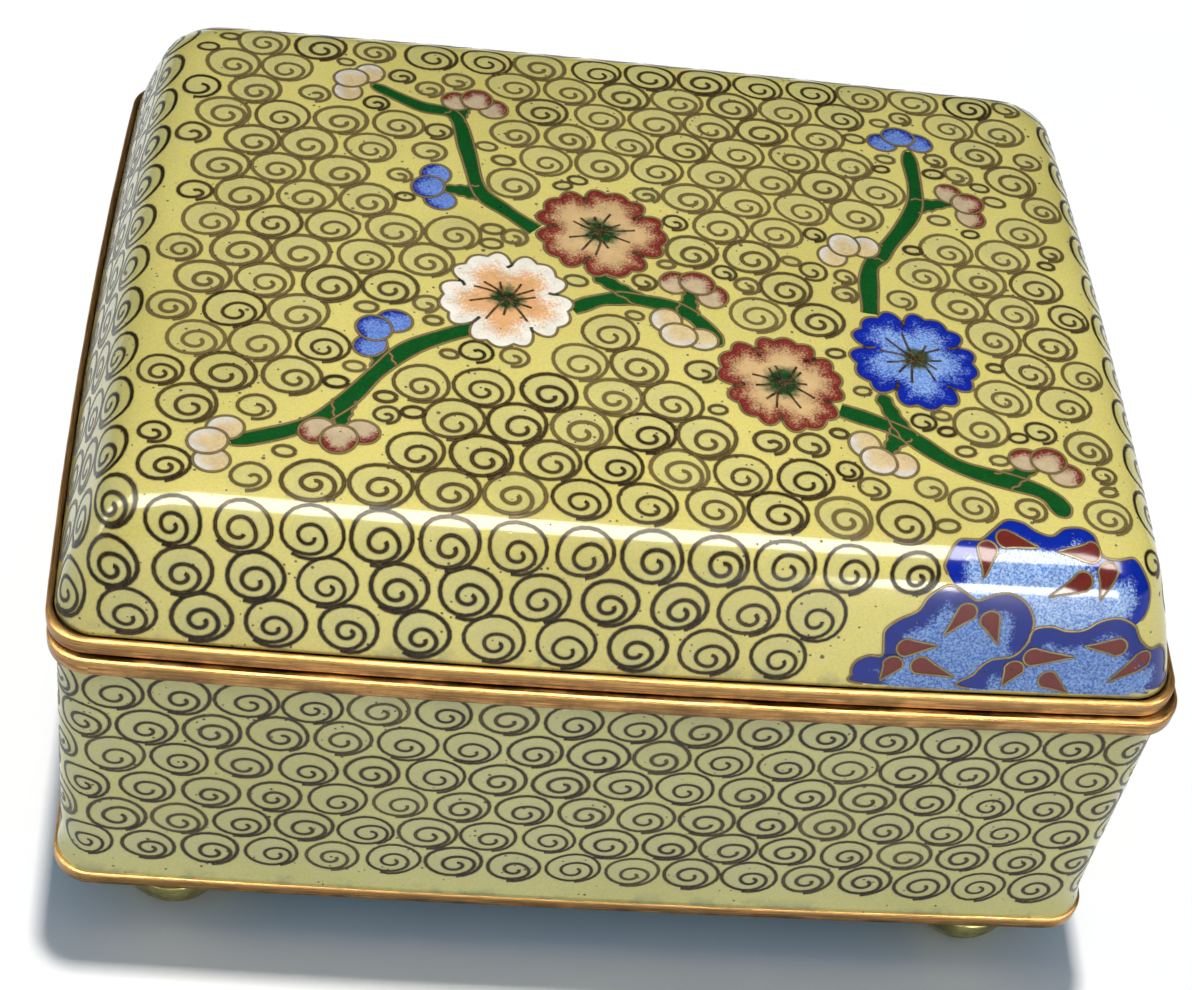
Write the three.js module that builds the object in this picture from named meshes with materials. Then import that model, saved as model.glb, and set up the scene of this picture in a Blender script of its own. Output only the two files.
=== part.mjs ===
// Rectangular cloisonné enamel box with a lift-off domed lid, standing on four brass bun feet.
// Units are millimetres, +Z is up, +X runs along the long side and -Y is the front.
// The origin lies on the surface the feet stand on, under the middle of the box.
import * as THREE from "three";

// Driving dimensions.
const WIDTH = 108;                 // along X at the mouth, corner to corner
const DEPTH = 82;                  // along Y at the mouth, corner to corner
const FOOT_HEIGHT = 6;             // surface to the lower edge of the base edging
const BODY_HEIGHT = 36.5;          // base edging to the joint between body and lid
const LID_RISE = 17;               // joint to the crown of the lid
const WALL = 1.8;                  // copper with enamel on both faces
const SIDE_BOW = 0.8;              // how far each side swells between its corners
const CORNER_RADIUS = 4.2;         // plan corners at the mouth
const GAP = 0.3;                   // clearance between neighbouring pieces

// Edgings: strips of copper folded over the edges of the enamelled shells.
const EDGING_HEIGHT = 2.05;
const EDGING_EASE = 0.2;           // small flat that eases each outer edge
const LIP = 0.42;                  // thickness of the part of an edging that shows beside the enamel
const LIP_DEPTH = 0.25;            // how far the lip overlaps the enamel's end
const COLLAR_OUTSET = 3.1;         // face of the locating collar, inwards from the mouth
const COLLAR_WALL = 0.8;
const COLLAR_RISE = 1.9;           // collar's top above the joint
const LID_EDGING_WIDTH = 1.8;
const BASE_EDGING_WIDTH = 1.9;
const BASE_EDGING_HEIGHT = 1.7;
const BASE_OUTSET = 0.65;          // base edging beyond the mouth's corners

// The enamelled wall leans out a little as it goes down and ends in a small cove.
const WALL_INSET_TOP = 0.78;
const WALL_INSET_BOTTOM = 0.12;
const COVE_HEIGHT = 4;
const COVE_OUTSET = 0.42;
const FLOOR = 2;
const INNER_FILLET = 2.5;

// The lid: a steep side, a soft shoulder and a low crown.
const LID_INSET = 0.45;            // the lid's edging is a little smaller than the mouth
const LID_SHIFT = -0.5;            // the loose lid sits slightly to the left
const LID_WALL_INSET = 0.72;       // foot of the enamel, inwards from the lid's edging
const SIDE_ANGLE_LOW = 75.3;       // degrees from level, at the foot of the side
const SIDE_ANGLE_HIGH = 68.5;      // and just below the shoulder
const SIDE_LENGTH = 11.1;
const SHOULDER_RADIUS = 4.9;
const CROWN_ANGLE = 4;             // slope of the crown where it leaves the shoulder
const CORNER_GROWTH = 0.17;        // plan corner radius gained for each millimetre of inset

// Feet: bun shaped, flat below.
const FOOT_RADIUS = 6;
const FOOT_BULGE = 6.4;            // vertical radius of the bun
const FOOT_BULGE_DROP = 0.6;       // widest level below the base edging
const FOOT_INSET_X = 12.2;
const FOOT_INSET_Y = 5.9;

// Fineness.
const SIDE_STEPS = 8;
const CORNER_STEPS = 6;
const FOOT_SEGMENTS = 24;

const JOINT_Z = FOOT_HEIGHT + BODY_HEIGHT;
const HALF_X = WIDTH / 2;
const HALF_Y = DEPTH / 2;

const copper = new THREE.MeshStandardMaterial({ color: 0x8c6238, roughness: 0.42, metalness: 0.9 });
const brass = new THREE.MeshStandardMaterial({ color: 0x8f8348, roughness: 0.45, metalness: 0.9 });
const lidEnamel = new THREE.MeshStandardMaterial({ color: 0xe2d67c, roughness: 0.14, metalness: 0 });
const bodyEnamel = new THREE.MeshStandardMaterial({ color: 0xcdc884, roughness: 0.16, metalness: 0 });

/** Plan outline: a rectangle with bowed sides and round corners, counter-clockwise from above. */
function outline(inset, bow = SIDE_BOW, radius = CORNER_RADIUS) {
  const halfX = HALF_X - inset;
  const halfY = HALF_Y - inset;
  const flatX = halfX - radius;
  const flatY = halfY - radius;
  const swell = (t) => bow * (1 - t * t);
  const sides = [
    (t) => [t * flatX, -halfY - swell(t)],
    (t) => [halfX + swell(t), t * flatY],
    (t) => [-t * flatX, halfY + swell(t)],
    (t) => [-halfX - swell(t), -t * flatY],
  ];
  const corners = [[flatX, -flatY], [flatX, flatY], [-flatX, flatY], [-flatX, -flatY]];
  const points = [];
  sides.forEach((side, quarter) => {
    for (let step = 0; step <= SIDE_STEPS; step += 1) {
      points.push(side(-1 + (2 * step) / SIDE_STEPS));
    }
    const [centreX, centreY] = corners[quarter];
    for (let step = 1; step < CORNER_STEPS; step += 1) {
      const angle = (Math.PI / 2) * (quarter - 1 + step / CORNER_STEPS);
      points.push([centreX + radius * Math.cos(angle), centreY + radius * Math.sin(angle)]);
    }
  });
  return points;
}

/** One level of a loft: an outline at height z, moved sideways by shift and scaled about its middle. */
function level(inset, z, { bow = SIDE_BOW, radius = CORNER_RADIUS, shift = 0, scale = 1 } = {}) {
  return outline(inset, bow, radius).map(([x, y]) => new THREE.Vector3(x * scale + shift, y * scale, z));
}

/** Closed body from levels of equal length: capped with a fan at each end, or joined end to start. */
function loft(levels, { looped = false } = {}) {
  const count = levels[0].length;
  const vertices = levels.flat();
  const faces = [];
  const strips = looped ? levels.length : levels.length - 1;
  for (let row = 0; row < strips; row += 1) {
    const here = row * count;
    const next = ((row + 1) % levels.length) * count;
    for (let i = 0; i < count; i += 1) {
      const j = (i + 1) % count;
      faces.push([here + i, here + j, next + j], [here + i, next + j, next + i]);
    }
  }
  if (!looped) {
    const fan = (start, flip) => {
      const middle = new THREE.Vector3();
      for (let i = 0; i < count; i += 1) {
        middle.addScaledVector(vertices[start + i], 1 / count);
      }
      const apex = vertices.push(middle) - 1;
      for (let i = 0; i < count; i += 1) {
        const edge = [start + i, start + ((i + 1) % count)];
        faces.push(flip ? [apex, edge[1], edge[0]] : [apex, edge[0], edge[1]]);
      }
    };
    fan(0, true);
    fan((levels.length - 1) * count, false);
  }
  return solid(vertices, faces);
}

/** Indexed geometry whose faces point outwards, whichever way round the levels were given. */
function solid(vertices, faces) {
  const volume = faces.reduce((sum, [a, b, c]) => {
    const across = new THREE.Vector3().crossVectors(vertices[b], vertices[c]);
    return sum + vertices[a].dot(across) / 6;
  }, 0);
  const index = faces.flatMap(([a, b, c]) => (volume < 0 ? [a, c, b] : [a, b, c]));
  const geometry = new THREE.BufferGeometry();
  const positions = vertices.flatMap((v) => [v.x, v.y, v.z]);
  geometry.setAttribute("position", new THREE.Float32BufferAttribute(positions, 3));
  geometry.setIndex(index);
  geometry.computeVertexNormals();
  return geometry;
}

/** Ring round the box from a closed section of [inset, z] points. */
function edging(section, options = {}) {
  return loft(section.map(([inset, z]) => level(inset, z, options)), { looped: true });
}

/** Edging of the body's mouth, with the collar that keeps the lid in its place. */
function mouthEdging() {
  const top = JOINT_Z - GAP / 2;
  const bottom = top - EDGING_HEIGHT;
  const web = bottom + LIP_DEPTH;
  const collarInner = COLLAR_OUTSET + COLLAR_WALL;
  const collarTop = JOINT_Z + COLLAR_RISE;
  return edging([
    [EDGING_EASE, top],
    [0, top - EDGING_EASE],
    [0, bottom + EDGING_EASE],
    [EDGING_EASE / 2, bottom],
    [LIP, bottom],
    [LIP, web],
    [collarInner, web],
    [collarInner, collarTop],
    [COLLAR_OUTSET + EDGING_EASE, collarTop],
    [COLLAR_OUTSET, collarTop - EDGING_EASE],
    [COLLAR_OUTSET, top],
  ], { radius: CORNER_RADIUS });
}

/** Edging of the lid. */
function lidEdging() {
  const bottom = JOINT_Z + GAP / 2;
  const top = bottom + EDGING_HEIGHT;
  const web = top - LIP_DEPTH;
  const place = (inset, z) => [LID_INSET + inset, z];
  return edging([
    place(EDGING_EASE, bottom),
    place(0, bottom + EDGING_EASE),
    place(0, top - EDGING_EASE),
    place(EDGING_EASE / 2, top),
    place(LIP, top),
    place(LIP, web),
    place(LID_EDGING_WIDTH, web),
    place(LID_EDGING_WIDTH, bottom),
  ], { shift: LID_SHIFT });
}

/** Edging round the bottom of the body. */
function baseEdging() {
  const bottom = FOOT_HEIGHT;
  const top = bottom + BASE_EDGING_HEIGHT;
  const outer = -BASE_OUTSET;
  const inner = outer + BASE_EDGING_WIDTH;
  return edging([
    [outer + EDGING_EASE, bottom],
    [outer, bottom + EDGING_EASE],
    [outer, top - EDGING_EASE],
    [outer + EDGING_EASE, top],
    [inner, top],
    [inner, bottom],
  ], { bow: SIDE_BOW / 2 });
}

/** The hollow enamelled tray: bottom, side, mouth, then down the inside to the floor. */
function bodyShell() {
  const underside = FOOT_HEIGHT;
  const ledge = FOOT_HEIGHT + BASE_EDGING_HEIGHT + GAP;
  const mouth = JOINT_Z - GAP / 2 - EDGING_HEIGHT + LIP_DEPTH - GAP;
  const floor = underside + FLOOR;
  const coveTop = ledge + COVE_HEIGHT;
  const bow = SIDE_BOW * 0.7;
  const plug = BASE_EDGING_WIDTH - BASE_OUTSET + GAP;
  const innerTop = WALL_INSET_TOP + WALL;
  const innerBottom = WALL_INSET_BOTTOM + WALL;
  const innerRadius = CORNER_RADIUS - WALL;
  const levels = [level(plug, underside, { bow }), level(plug, ledge, { bow })];
  for (const share of [0, 0.35, 0.7, 1]) {
    const flare = (1 - share) ** 2;
    const inset = WALL_INSET_BOTTOM - (WALL_INSET_BOTTOM + COVE_OUTSET) * flare;
    levels.push(level(inset, ledge + COVE_HEIGHT * share, { bow }));
  }
  for (const share of [0.5, 1]) {
    const inset = THREE.MathUtils.lerp(WALL_INSET_BOTTOM, WALL_INSET_TOP, share);
    levels.push(level(inset, THREE.MathUtils.lerp(coveTop, mouth, share), { bow }));
  }
  levels.push(level(innerTop, mouth, { bow, radius: innerRadius }));
  for (const turn of [0, 0.25, 0.5, 0.75, 1]) {
    const angle = (turn * Math.PI) / 2;
    const inset = innerBottom + INNER_FILLET * (1 - Math.cos(angle));
    const z = floor + INNER_FILLET * (1 - Math.sin(angle));
    levels.push(level(inset, z, { bow, radius: innerRadius }));
  }
  return loft(levels);
}

/** Side and shoulder of the lid as [inset, height, slope] from the foot of the enamel upwards. */
function lidProfile() {
  const profile = [];
  let inset = LID_INSET + LID_WALL_INSET;
  let z = JOINT_Z + GAP / 2 + EDGING_HEIGHT - LIP_DEPTH + GAP;
  const sideSteps = 3;
  for (let step = 0; step <= sideSteps; step += 1) {
    const slope = THREE.MathUtils.degToRad(
      THREE.MathUtils.lerp(SIDE_ANGLE_LOW, SIDE_ANGLE_HIGH, step / sideSteps),
    );
    profile.push([inset, z, slope]);
    if (step < sideSteps) {
      inset += (SIDE_LENGTH / sideSteps) * Math.cos(slope);
      z += (SIDE_LENGTH / sideSteps) * Math.sin(slope);
    }
  }
  const high = THREE.MathUtils.degToRad(SIDE_ANGLE_HIGH);
  const crown = THREE.MathUtils.degToRad(CROWN_ANGLE);
  const shoulderSteps = 7;
  for (let step = 1; step <= shoulderSteps; step += 1) {
    const slope = THREE.MathUtils.lerp(high, crown, step / shoulderSteps);
    profile.push([
      inset + SHOULDER_RADIUS * (Math.sin(high) - Math.sin(slope)),
      z + SHOULDER_RADIUS * (Math.cos(slope) - Math.cos(high)),
      slope,
    ]);
  }
  return profile;
}

/** Levels of one face of the lid, thickness below its outer face: side, shoulder and crown. */
function lidFace(thickness, crownScales) {
  const profile = lidProfile();
  const foot = profile[0];
  const place = (inset, z, scale = 1) => {
    const depth = inset - LID_INSET;
    return level(inset, z, {
      bow: SIDE_BOW * Math.max(0, 1 - depth / 20),
      radius: CORNER_RADIUS + CORNER_GROWTH * depth - thickness / 2,
      shift: LID_SHIFT,
      scale,
    });
  };
  const levels = profile.map(([inset, z, slope], step) => {
    const drop = step === 0 ? 0 : thickness * Math.cos(slope);
    return place(inset + thickness * Math.sin(slope), z - drop);
  });
  const [inset, shoulderZ, slope] = profile.at(-1);
  const innerInset = inset + thickness * Math.sin(slope);
  const rise = JOINT_Z + LID_RISE - shoulderZ;
  for (const scale of crownScales) {
    levels.push(place(innerInset, shoulderZ - thickness + rise * (1 - scale * scale), scale));
  }
  return { levels, foot };
}

/** The hollow enamelled lid: down its inner face from the crown, then up its outer face. */
function lidShell() {
  const inner = lidFace(WALL, [0.6, 0.15]).levels.reverse();
  const outer = lidFace(0, [0.85, 0.65, 0.4, 0.15]).levels;
  return loft([...inner, ...outer]);
}

/** Bun foot turned about its own upright axis, flat below and cut level under the box. */
function bunFoot() {
  const bottom = 0;
  const top = FOOT_HEIGHT - GAP;
  const middle = FOOT_HEIGHT - FOOT_BULGE_DROP;
  const steps = 8;
  const profile = [new THREE.Vector2(0, bottom)];
  for (let step = 0; step <= steps; step += 1) {
    const z = THREE.MathUtils.lerp(bottom, top, step / steps);
    const share = (z - middle) / FOOT_BULGE;
    profile.push(new THREE.Vector2(FOOT_RADIUS * Math.sqrt(1 - share * share), z));
  }
  profile.push(new THREE.Vector2(0, top));
  const turned = new THREE.LatheGeometry(profile, FOOT_SEGMENTS);
  turned.rotateX(Math.PI / 2);
  return turned;
}

const box = new THREE.Group();

/** Adds one named piece to the box, or to the group that holds it. */
function add(name, geometry, material, parent = box) {
  const mesh = new THREE.Mesh(geometry, material);
  mesh.name = name;
  parent.add(mesh);
  return mesh;
}

const body = new THREE.Group();
add("base_shell", bodyShell(), bodyEnamel, body);
add("base_mouth_rim", mouthEdging(), copper, body);
add("base_foot_rim", baseEdging(), copper, body);

const lid = new THREE.Group();
add("lid_shell", lidShell(), lidEnamel, lid);
add("lid_rim", lidEdging(), copper, lid);

const feet = new THREE.Group();
for (const [side, signX] of [["left", -1], ["right", 1]]) {
  for (const [end, signY] of [["front", -1], ["back", 1]]) {
    const foot = add(`foot_${end}_${side}`, bunFoot(), brass, feet);
    foot.position.set(
      signX * (HALF_X + BASE_OUTSET - FOOT_INSET_X),
      signY * (HALF_Y + BASE_OUTSET - FOOT_INSET_Y),
      0,
    );
  }
}

box.add(body, lid, feet);
export default box;
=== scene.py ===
"""Cloisonné enamel box on four brass feet.

The shells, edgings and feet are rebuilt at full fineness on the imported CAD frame, and the
wires and enamel cells of the decoration are laid on the shells. Lengths are in metres.
"""

import logging
import math
import random
from dataclasses import dataclass, field
from enum import Enum
from typing import Callable, Sequence

import bmesh
import bpy
import numpy as np
from mathutils import Matrix, Vector, noise
from mathutils.bvhtree import BVHTree


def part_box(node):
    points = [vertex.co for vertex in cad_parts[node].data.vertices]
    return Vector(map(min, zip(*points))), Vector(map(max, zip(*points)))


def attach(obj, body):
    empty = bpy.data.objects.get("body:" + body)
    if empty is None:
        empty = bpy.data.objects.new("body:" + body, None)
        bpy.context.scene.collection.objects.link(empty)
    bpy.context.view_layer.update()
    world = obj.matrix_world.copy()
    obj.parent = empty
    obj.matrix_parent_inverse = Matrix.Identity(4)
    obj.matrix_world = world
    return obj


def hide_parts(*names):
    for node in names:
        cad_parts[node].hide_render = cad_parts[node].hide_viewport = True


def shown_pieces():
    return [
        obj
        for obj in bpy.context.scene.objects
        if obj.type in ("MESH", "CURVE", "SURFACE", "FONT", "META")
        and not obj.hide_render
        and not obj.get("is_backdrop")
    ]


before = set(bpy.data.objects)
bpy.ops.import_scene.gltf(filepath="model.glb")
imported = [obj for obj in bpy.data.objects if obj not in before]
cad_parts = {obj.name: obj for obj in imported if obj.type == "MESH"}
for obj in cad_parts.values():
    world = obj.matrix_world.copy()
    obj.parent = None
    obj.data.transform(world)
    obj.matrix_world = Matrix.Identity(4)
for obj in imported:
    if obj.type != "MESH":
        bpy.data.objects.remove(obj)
log = logging.getLogger("enamel_box")

MM = 0.001
WALL = 1.8 * MM
BOW = 0.8 * MM
CORNER = 4.2 * MM
BEND_STEPS = 14
MERGE = 1e-6
RISE = np.array([0, -0.35, 0.94])
YELLOW_SLOT = "yellow_enamel"
COPPER_SLOT = "copper_edging"

Colour = tuple[float, float, float]
Value = object


def srgb(red: float, green: float, blue: float) -> tuple[float, float, float, float]:
    """Linear colour of an sRGB colour given from 0 to 255.

    Args:
        red: red part.
        green: green part.
        blue: blue part.

    Returns:
        Red, green, blue and full opacity.
    """

    def linear(part: float) -> float:
        part /= 255
        return part / 12.92 if part <= 0.04045 else ((part + 0.055) / 1.055) ** 2.4

    return linear(red), linear(green), linear(blue), 1.0


# ---------------------------------------------------------------- meshes


@dataclass(frozen=True)
class Plan:
    """Rounded rectangle with bowed sides, which every level of the box follows.

    A place round it is a turn from 0 to 8: sides lie between even and odd numbers, starting
    with the front, and corners between odd and even ones.
    """

    half_x: float
    half_y: float
    shift: float = 0.0

    def place(self, turn: np.ndarray, inset: np.ndarray, bow: np.ndarray, radius: np.ndarray) -> np.ndarray:
        """Points of the outline.

        Args:
            turn: places round the outline.
            inset: distance inwards from the outline's own size.
            bow: swell of each side at its middle.
            radius: corner radius.

        Returns:
            Array whose last axis holds x and y.
        """
        turn, inset, bow, radius = np.broadcast_arrays(np.mod(turn, 8.0), inset, bow, radius)
        section = np.minimum(turn.astype(int), 7)
        part = turn - section
        quarter = section // 2
        wide = quarter % 2 == 0
        flat_x, flat_y = self.half_x - inset - radius, self.half_y - inset - radius
        flat = np.where(wide, flat_x, flat_y)
        other = np.where(wide, flat_y, flat_x)
        turned = quarter * math.pi / 2
        run = np.stack([np.cos(turned), np.sin(turned)], -1)
        out = np.stack([np.sin(turned), -np.cos(turned)], -1)
        reach = 2 * part - 1
        side = run * (reach * flat)[..., None] + out * (other + radius + bow * (1 - reach**2))[..., None]
        angle = part * math.pi / 2
        corner = run * (flat + radius * np.sin(angle))[..., None]
        corner = corner + out * (other + radius * np.cos(angle))[..., None]
        point = np.where((section % 2 == 0)[..., None], side, corner)
        point[..., 0] += self.shift
        return point

    def columns(self, spacing: float, corner_steps: int) -> np.ndarray:
        """Turns at about that spacing on the sides, with that many steps to a corner.

        Args:
            spacing: wanted distance between columns on the sides.
            corner_steps: steps round each corner.

        Returns:
            The turns, from 0 to 8.
        """
        turns = []
        for section in range(8):
            length = 2 * (self.half_x if section % 4 == 0 else self.half_y)
            steps = corner_steps if section % 2 else max(2, round(length / spacing))
            turns.append(section + np.arange(steps) / steps)
        return np.append(np.concatenate(turns), 8.0)

    def spaced(self, count: int, phase: float, inset: float, radius: float) -> np.ndarray:
        """Turns of that many places at even distances round one level.

        Args:
            count: number of places.
            phase: share of a step by which they start late.
            inset: inset of the level.
            radius: its corner radius.

        Returns:
            The turns.
        """
        long = 2 * (self.half_x - inset - radius)
        short = 2 * (self.half_y - inset - radius)
        bend = radius * math.pi / 2
        ends = np.cumsum([0, long, bend, short, bend, long, bend, short, bend])
        return np.interp((np.arange(count) + phase) / count * ends[-1], ends, np.arange(9))

    def girth(self, inset: float, radius: float) -> float:
        """Length of one level."""
        flats = self.half_x + self.half_y - 2 * (inset + radius)
        return 4 * flats + 2 * math.pi * radius


def smooth(value: np.ndarray, low: float, high: float) -> np.ndarray:
    """Smooth step from 0 at low to 1 at high."""
    share = np.clip((value - low) / (high - low), 0, 1)
    return share * share * (3 - 2 * share)


def link(name: str, shape: bmesh.types.BMesh, materials: Sequence[bpy.types.Material]) -> bpy.types.Object:
    """Object made from a finished bmesh, which is freed.

    Args:
        name: name of the object and its mesh.
        shape: the finished bmesh.
        materials: materials in the order of their numbers.

    Returns:
        The object, in the scene.
    """
    mesh = bpy.data.meshes.new(name)
    shape.to_mesh(mesh)
    shape.free()
    for material in materials:
        mesh.materials.append(material)
    piece = bpy.data.objects.new(name, mesh)
    bpy.context.scene.collection.objects.link(piece)
    return piece


def weave(
    points: np.ndarray,
    values: dict[str, np.ndarray] | None = None,
    parts: np.ndarray | None = None,
) -> bmesh.types.BMesh:
    """Smooth mesh from a grid whose vertices are moved onto points; its seams and poles are merged.

    Args:
        points: rows by columns by 3.
        values: vertex attributes, each rows by columns.
        parts: material number for each strip of faces between two rows.

    Returns:
        The bmesh.
    """
    rows, columns = points.shape[:2]
    shape = bmesh.new()
    shape.loops.layers.uv.new("UVMap")
    bmesh.ops.create_grid(shape, x_segments=columns - 1, y_segments=rows - 1, size=0.5, calc_uvs=True)
    for face in shape.faces:
        face.smooth = True
        if parts is not None:
            face.material_index = int(parts[int((face.calc_center_median().y + 0.5) * (rows - 1))])
    layers = {key: shape.verts.layers.float.new(key) for key in values or {}}
    for vertex in shape.verts:
        column = round((vertex.co.x + 0.5) * (columns - 1))
        row = round((vertex.co.y + 0.5) * (rows - 1))
        vertex.co = points[row, column]
        for key, layer in layers.items():
            vertex[layer] = values[key][row, column]
    bmesh.ops.remove_doubles(shape, verts=shape.verts, dist=MERGE)
    bmesh.ops.recalc_face_normals(shape, faces=shape.faces)
    return shape


def rounded(corners: Sequence[tuple[float, float, float]], steps: int = 4) -> np.ndarray:
    """Closed section with each corner (inset, z, radius) turned into an arc.

    Args:
        corners: inset, height and rounding of each corner, in order.
        steps: steps to an arc.

    Returns:
        The closed section, its first point repeated at the end.
    """
    points = []
    for index, (x, z, radius) in enumerate(corners):
        here = np.array([x, z])
        before = np.array(corners[index - 1][:2]) - here
        after = np.array(corners[(index + 1) % len(corners)][:2]) - here
        before /= np.linalg.norm(before)
        after /= np.linalg.norm(after)
        if radius <= 0:
            points.append(here)
            continue
        for share in np.linspace(0, 1, steps + 1):
            start, end = here + before * radius, here + after * radius
            points.append((1 - share) ** 2 * start + 2 * share * (1 - share) * here + share**2 * end)
    return np.array(points + points[:1])


# ---------------------------------------------------------------- node trees


class Graph:
    """Short way to write a node tree."""

    def __init__(self, tree: bpy.types.NodeTree) -> None:
        """Starts on an emptied tree."""
        self.tree = tree
        tree.nodes.clear()

    def add(self, kind: str, inputs: dict | None = None, **settings: object) -> bpy.types.Node:
        """Adds a node.

        Args:
            kind: node type, without its ShaderNode prefix.
            inputs: values or sockets for its inputs.
            settings: properties of the node.

        Returns:
            The node.
        """
        node = self.tree.nodes.new("ShaderNode" + kind)
        for key, value in settings.items():
            setattr(node, key, value)
        for key, value in (inputs or {}).items():
            if isinstance(value, bpy.types.NodeSocket):
                self.tree.links.new(value, node.inputs[key])
            else:
                node.inputs[key].default_value = value
        return node

    def math(
        self, operation: str, first: Value, second: Value = 0.0, clamp: bool = False
    ) -> bpy.types.NodeSocket:
        """Result of a Math node."""
        return self.add("Math", {0: first, 1: second}, operation=operation, use_clamp=clamp).outputs[0]

    def mix(self, share: Value, first: Value, second: Value, blend: str = "MIX") -> bpy.types.NodeSocket:
        """Colour between two colours."""
        node = self.add("Mix", {0: share, 6: first, 7: second}, data_type="RGBA", blend_type=blend)
        return node.outputs[2]

    def step(
        self, value: Value, low: float, high: float, start: float = 0.0, end: float = 1.0
    ) -> bpy.types.NodeSocket:
        """Smooth step of a value between low and high, from start to end."""
        inputs = {"Value": value, "From Min": low, "From Max": high, "To Min": start, "To Max": end}
        return self.add("MapRange", inputs, interpolation_type="SMOOTHSTEP").outputs[0]

    def noise(
        self, vector: Value, scale: Value, detail: float = 2.0, rough: float = 0.5
    ) -> bpy.types.NodeSocket:
        """Noise value about 0.5."""
        inputs = {"Vector": vector, "Scale": scale, "Detail": detail, "Roughness": rough}
        return self.add("TexNoise", inputs).outputs["Fac"]

    def where(self) -> bpy.types.NodeSocket:
        """Object coordinates."""
        return self.add("TexCoord").outputs["Object"]

    def held(self, name: str) -> bpy.types.NodeSocket:
        """Value of a vertex attribute."""
        return self.add("Attribute", attribute_name=name).outputs["Fac"]

    def use(self, group: bpy.types.NodeTree, **inputs: Value) -> bpy.types.Node:
        """Node that holds a group.

        Args:
            group: the group.
            inputs: values or sockets for its inputs.

        Returns:
            The node.
        """
        node = self.add("Group", node_tree=group)
        for key, value in inputs.items():
            if isinstance(value, bpy.types.NodeSocket):
                self.tree.links.new(value, node.inputs[key])
            else:
                node.inputs[key].default_value = value
        return node

    def finish(self, inputs: dict) -> None:
        """Principled surface with these inputs, joined to the output."""
        surface = self.add("BsdfPrincipled", inputs)
        self.add("OutputMaterial", {"Surface": surface.outputs["BSDF"]})


def new_material(name: str) -> tuple[bpy.types.Material, Graph]:
    """Empty node material and its graph.

    Args:
        name: the material's name.

    Returns:
        The material and its graph.
    """
    material = bpy.data.materials.new(name)
    material.use_nodes = True
    return material, Graph(material.node_tree)


def new_group(name: str, inputs: dict[str, str], outputs: dict[str, str]) -> tuple[bpy.types.NodeTree, Graph]:
    """Empty node group with sockets of these kinds, and its graph.

    Args:
        name: the group's name.
        inputs: kind of each input socket.
        outputs: kind of each output socket.

    Returns:
        The group and its graph.
    """
    group = bpy.data.node_groups.new(name, "ShaderNodeTree")
    for key, kind in inputs.items():
        group.interface.new_socket(key, in_out="INPUT", socket_type=f"NodeSocket{kind}")
    for key, kind in outputs.items():
        group.interface.new_socket(key, in_out="OUTPUT", socket_type=f"NodeSocket{kind}")
    return group, Graph(group)


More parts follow.
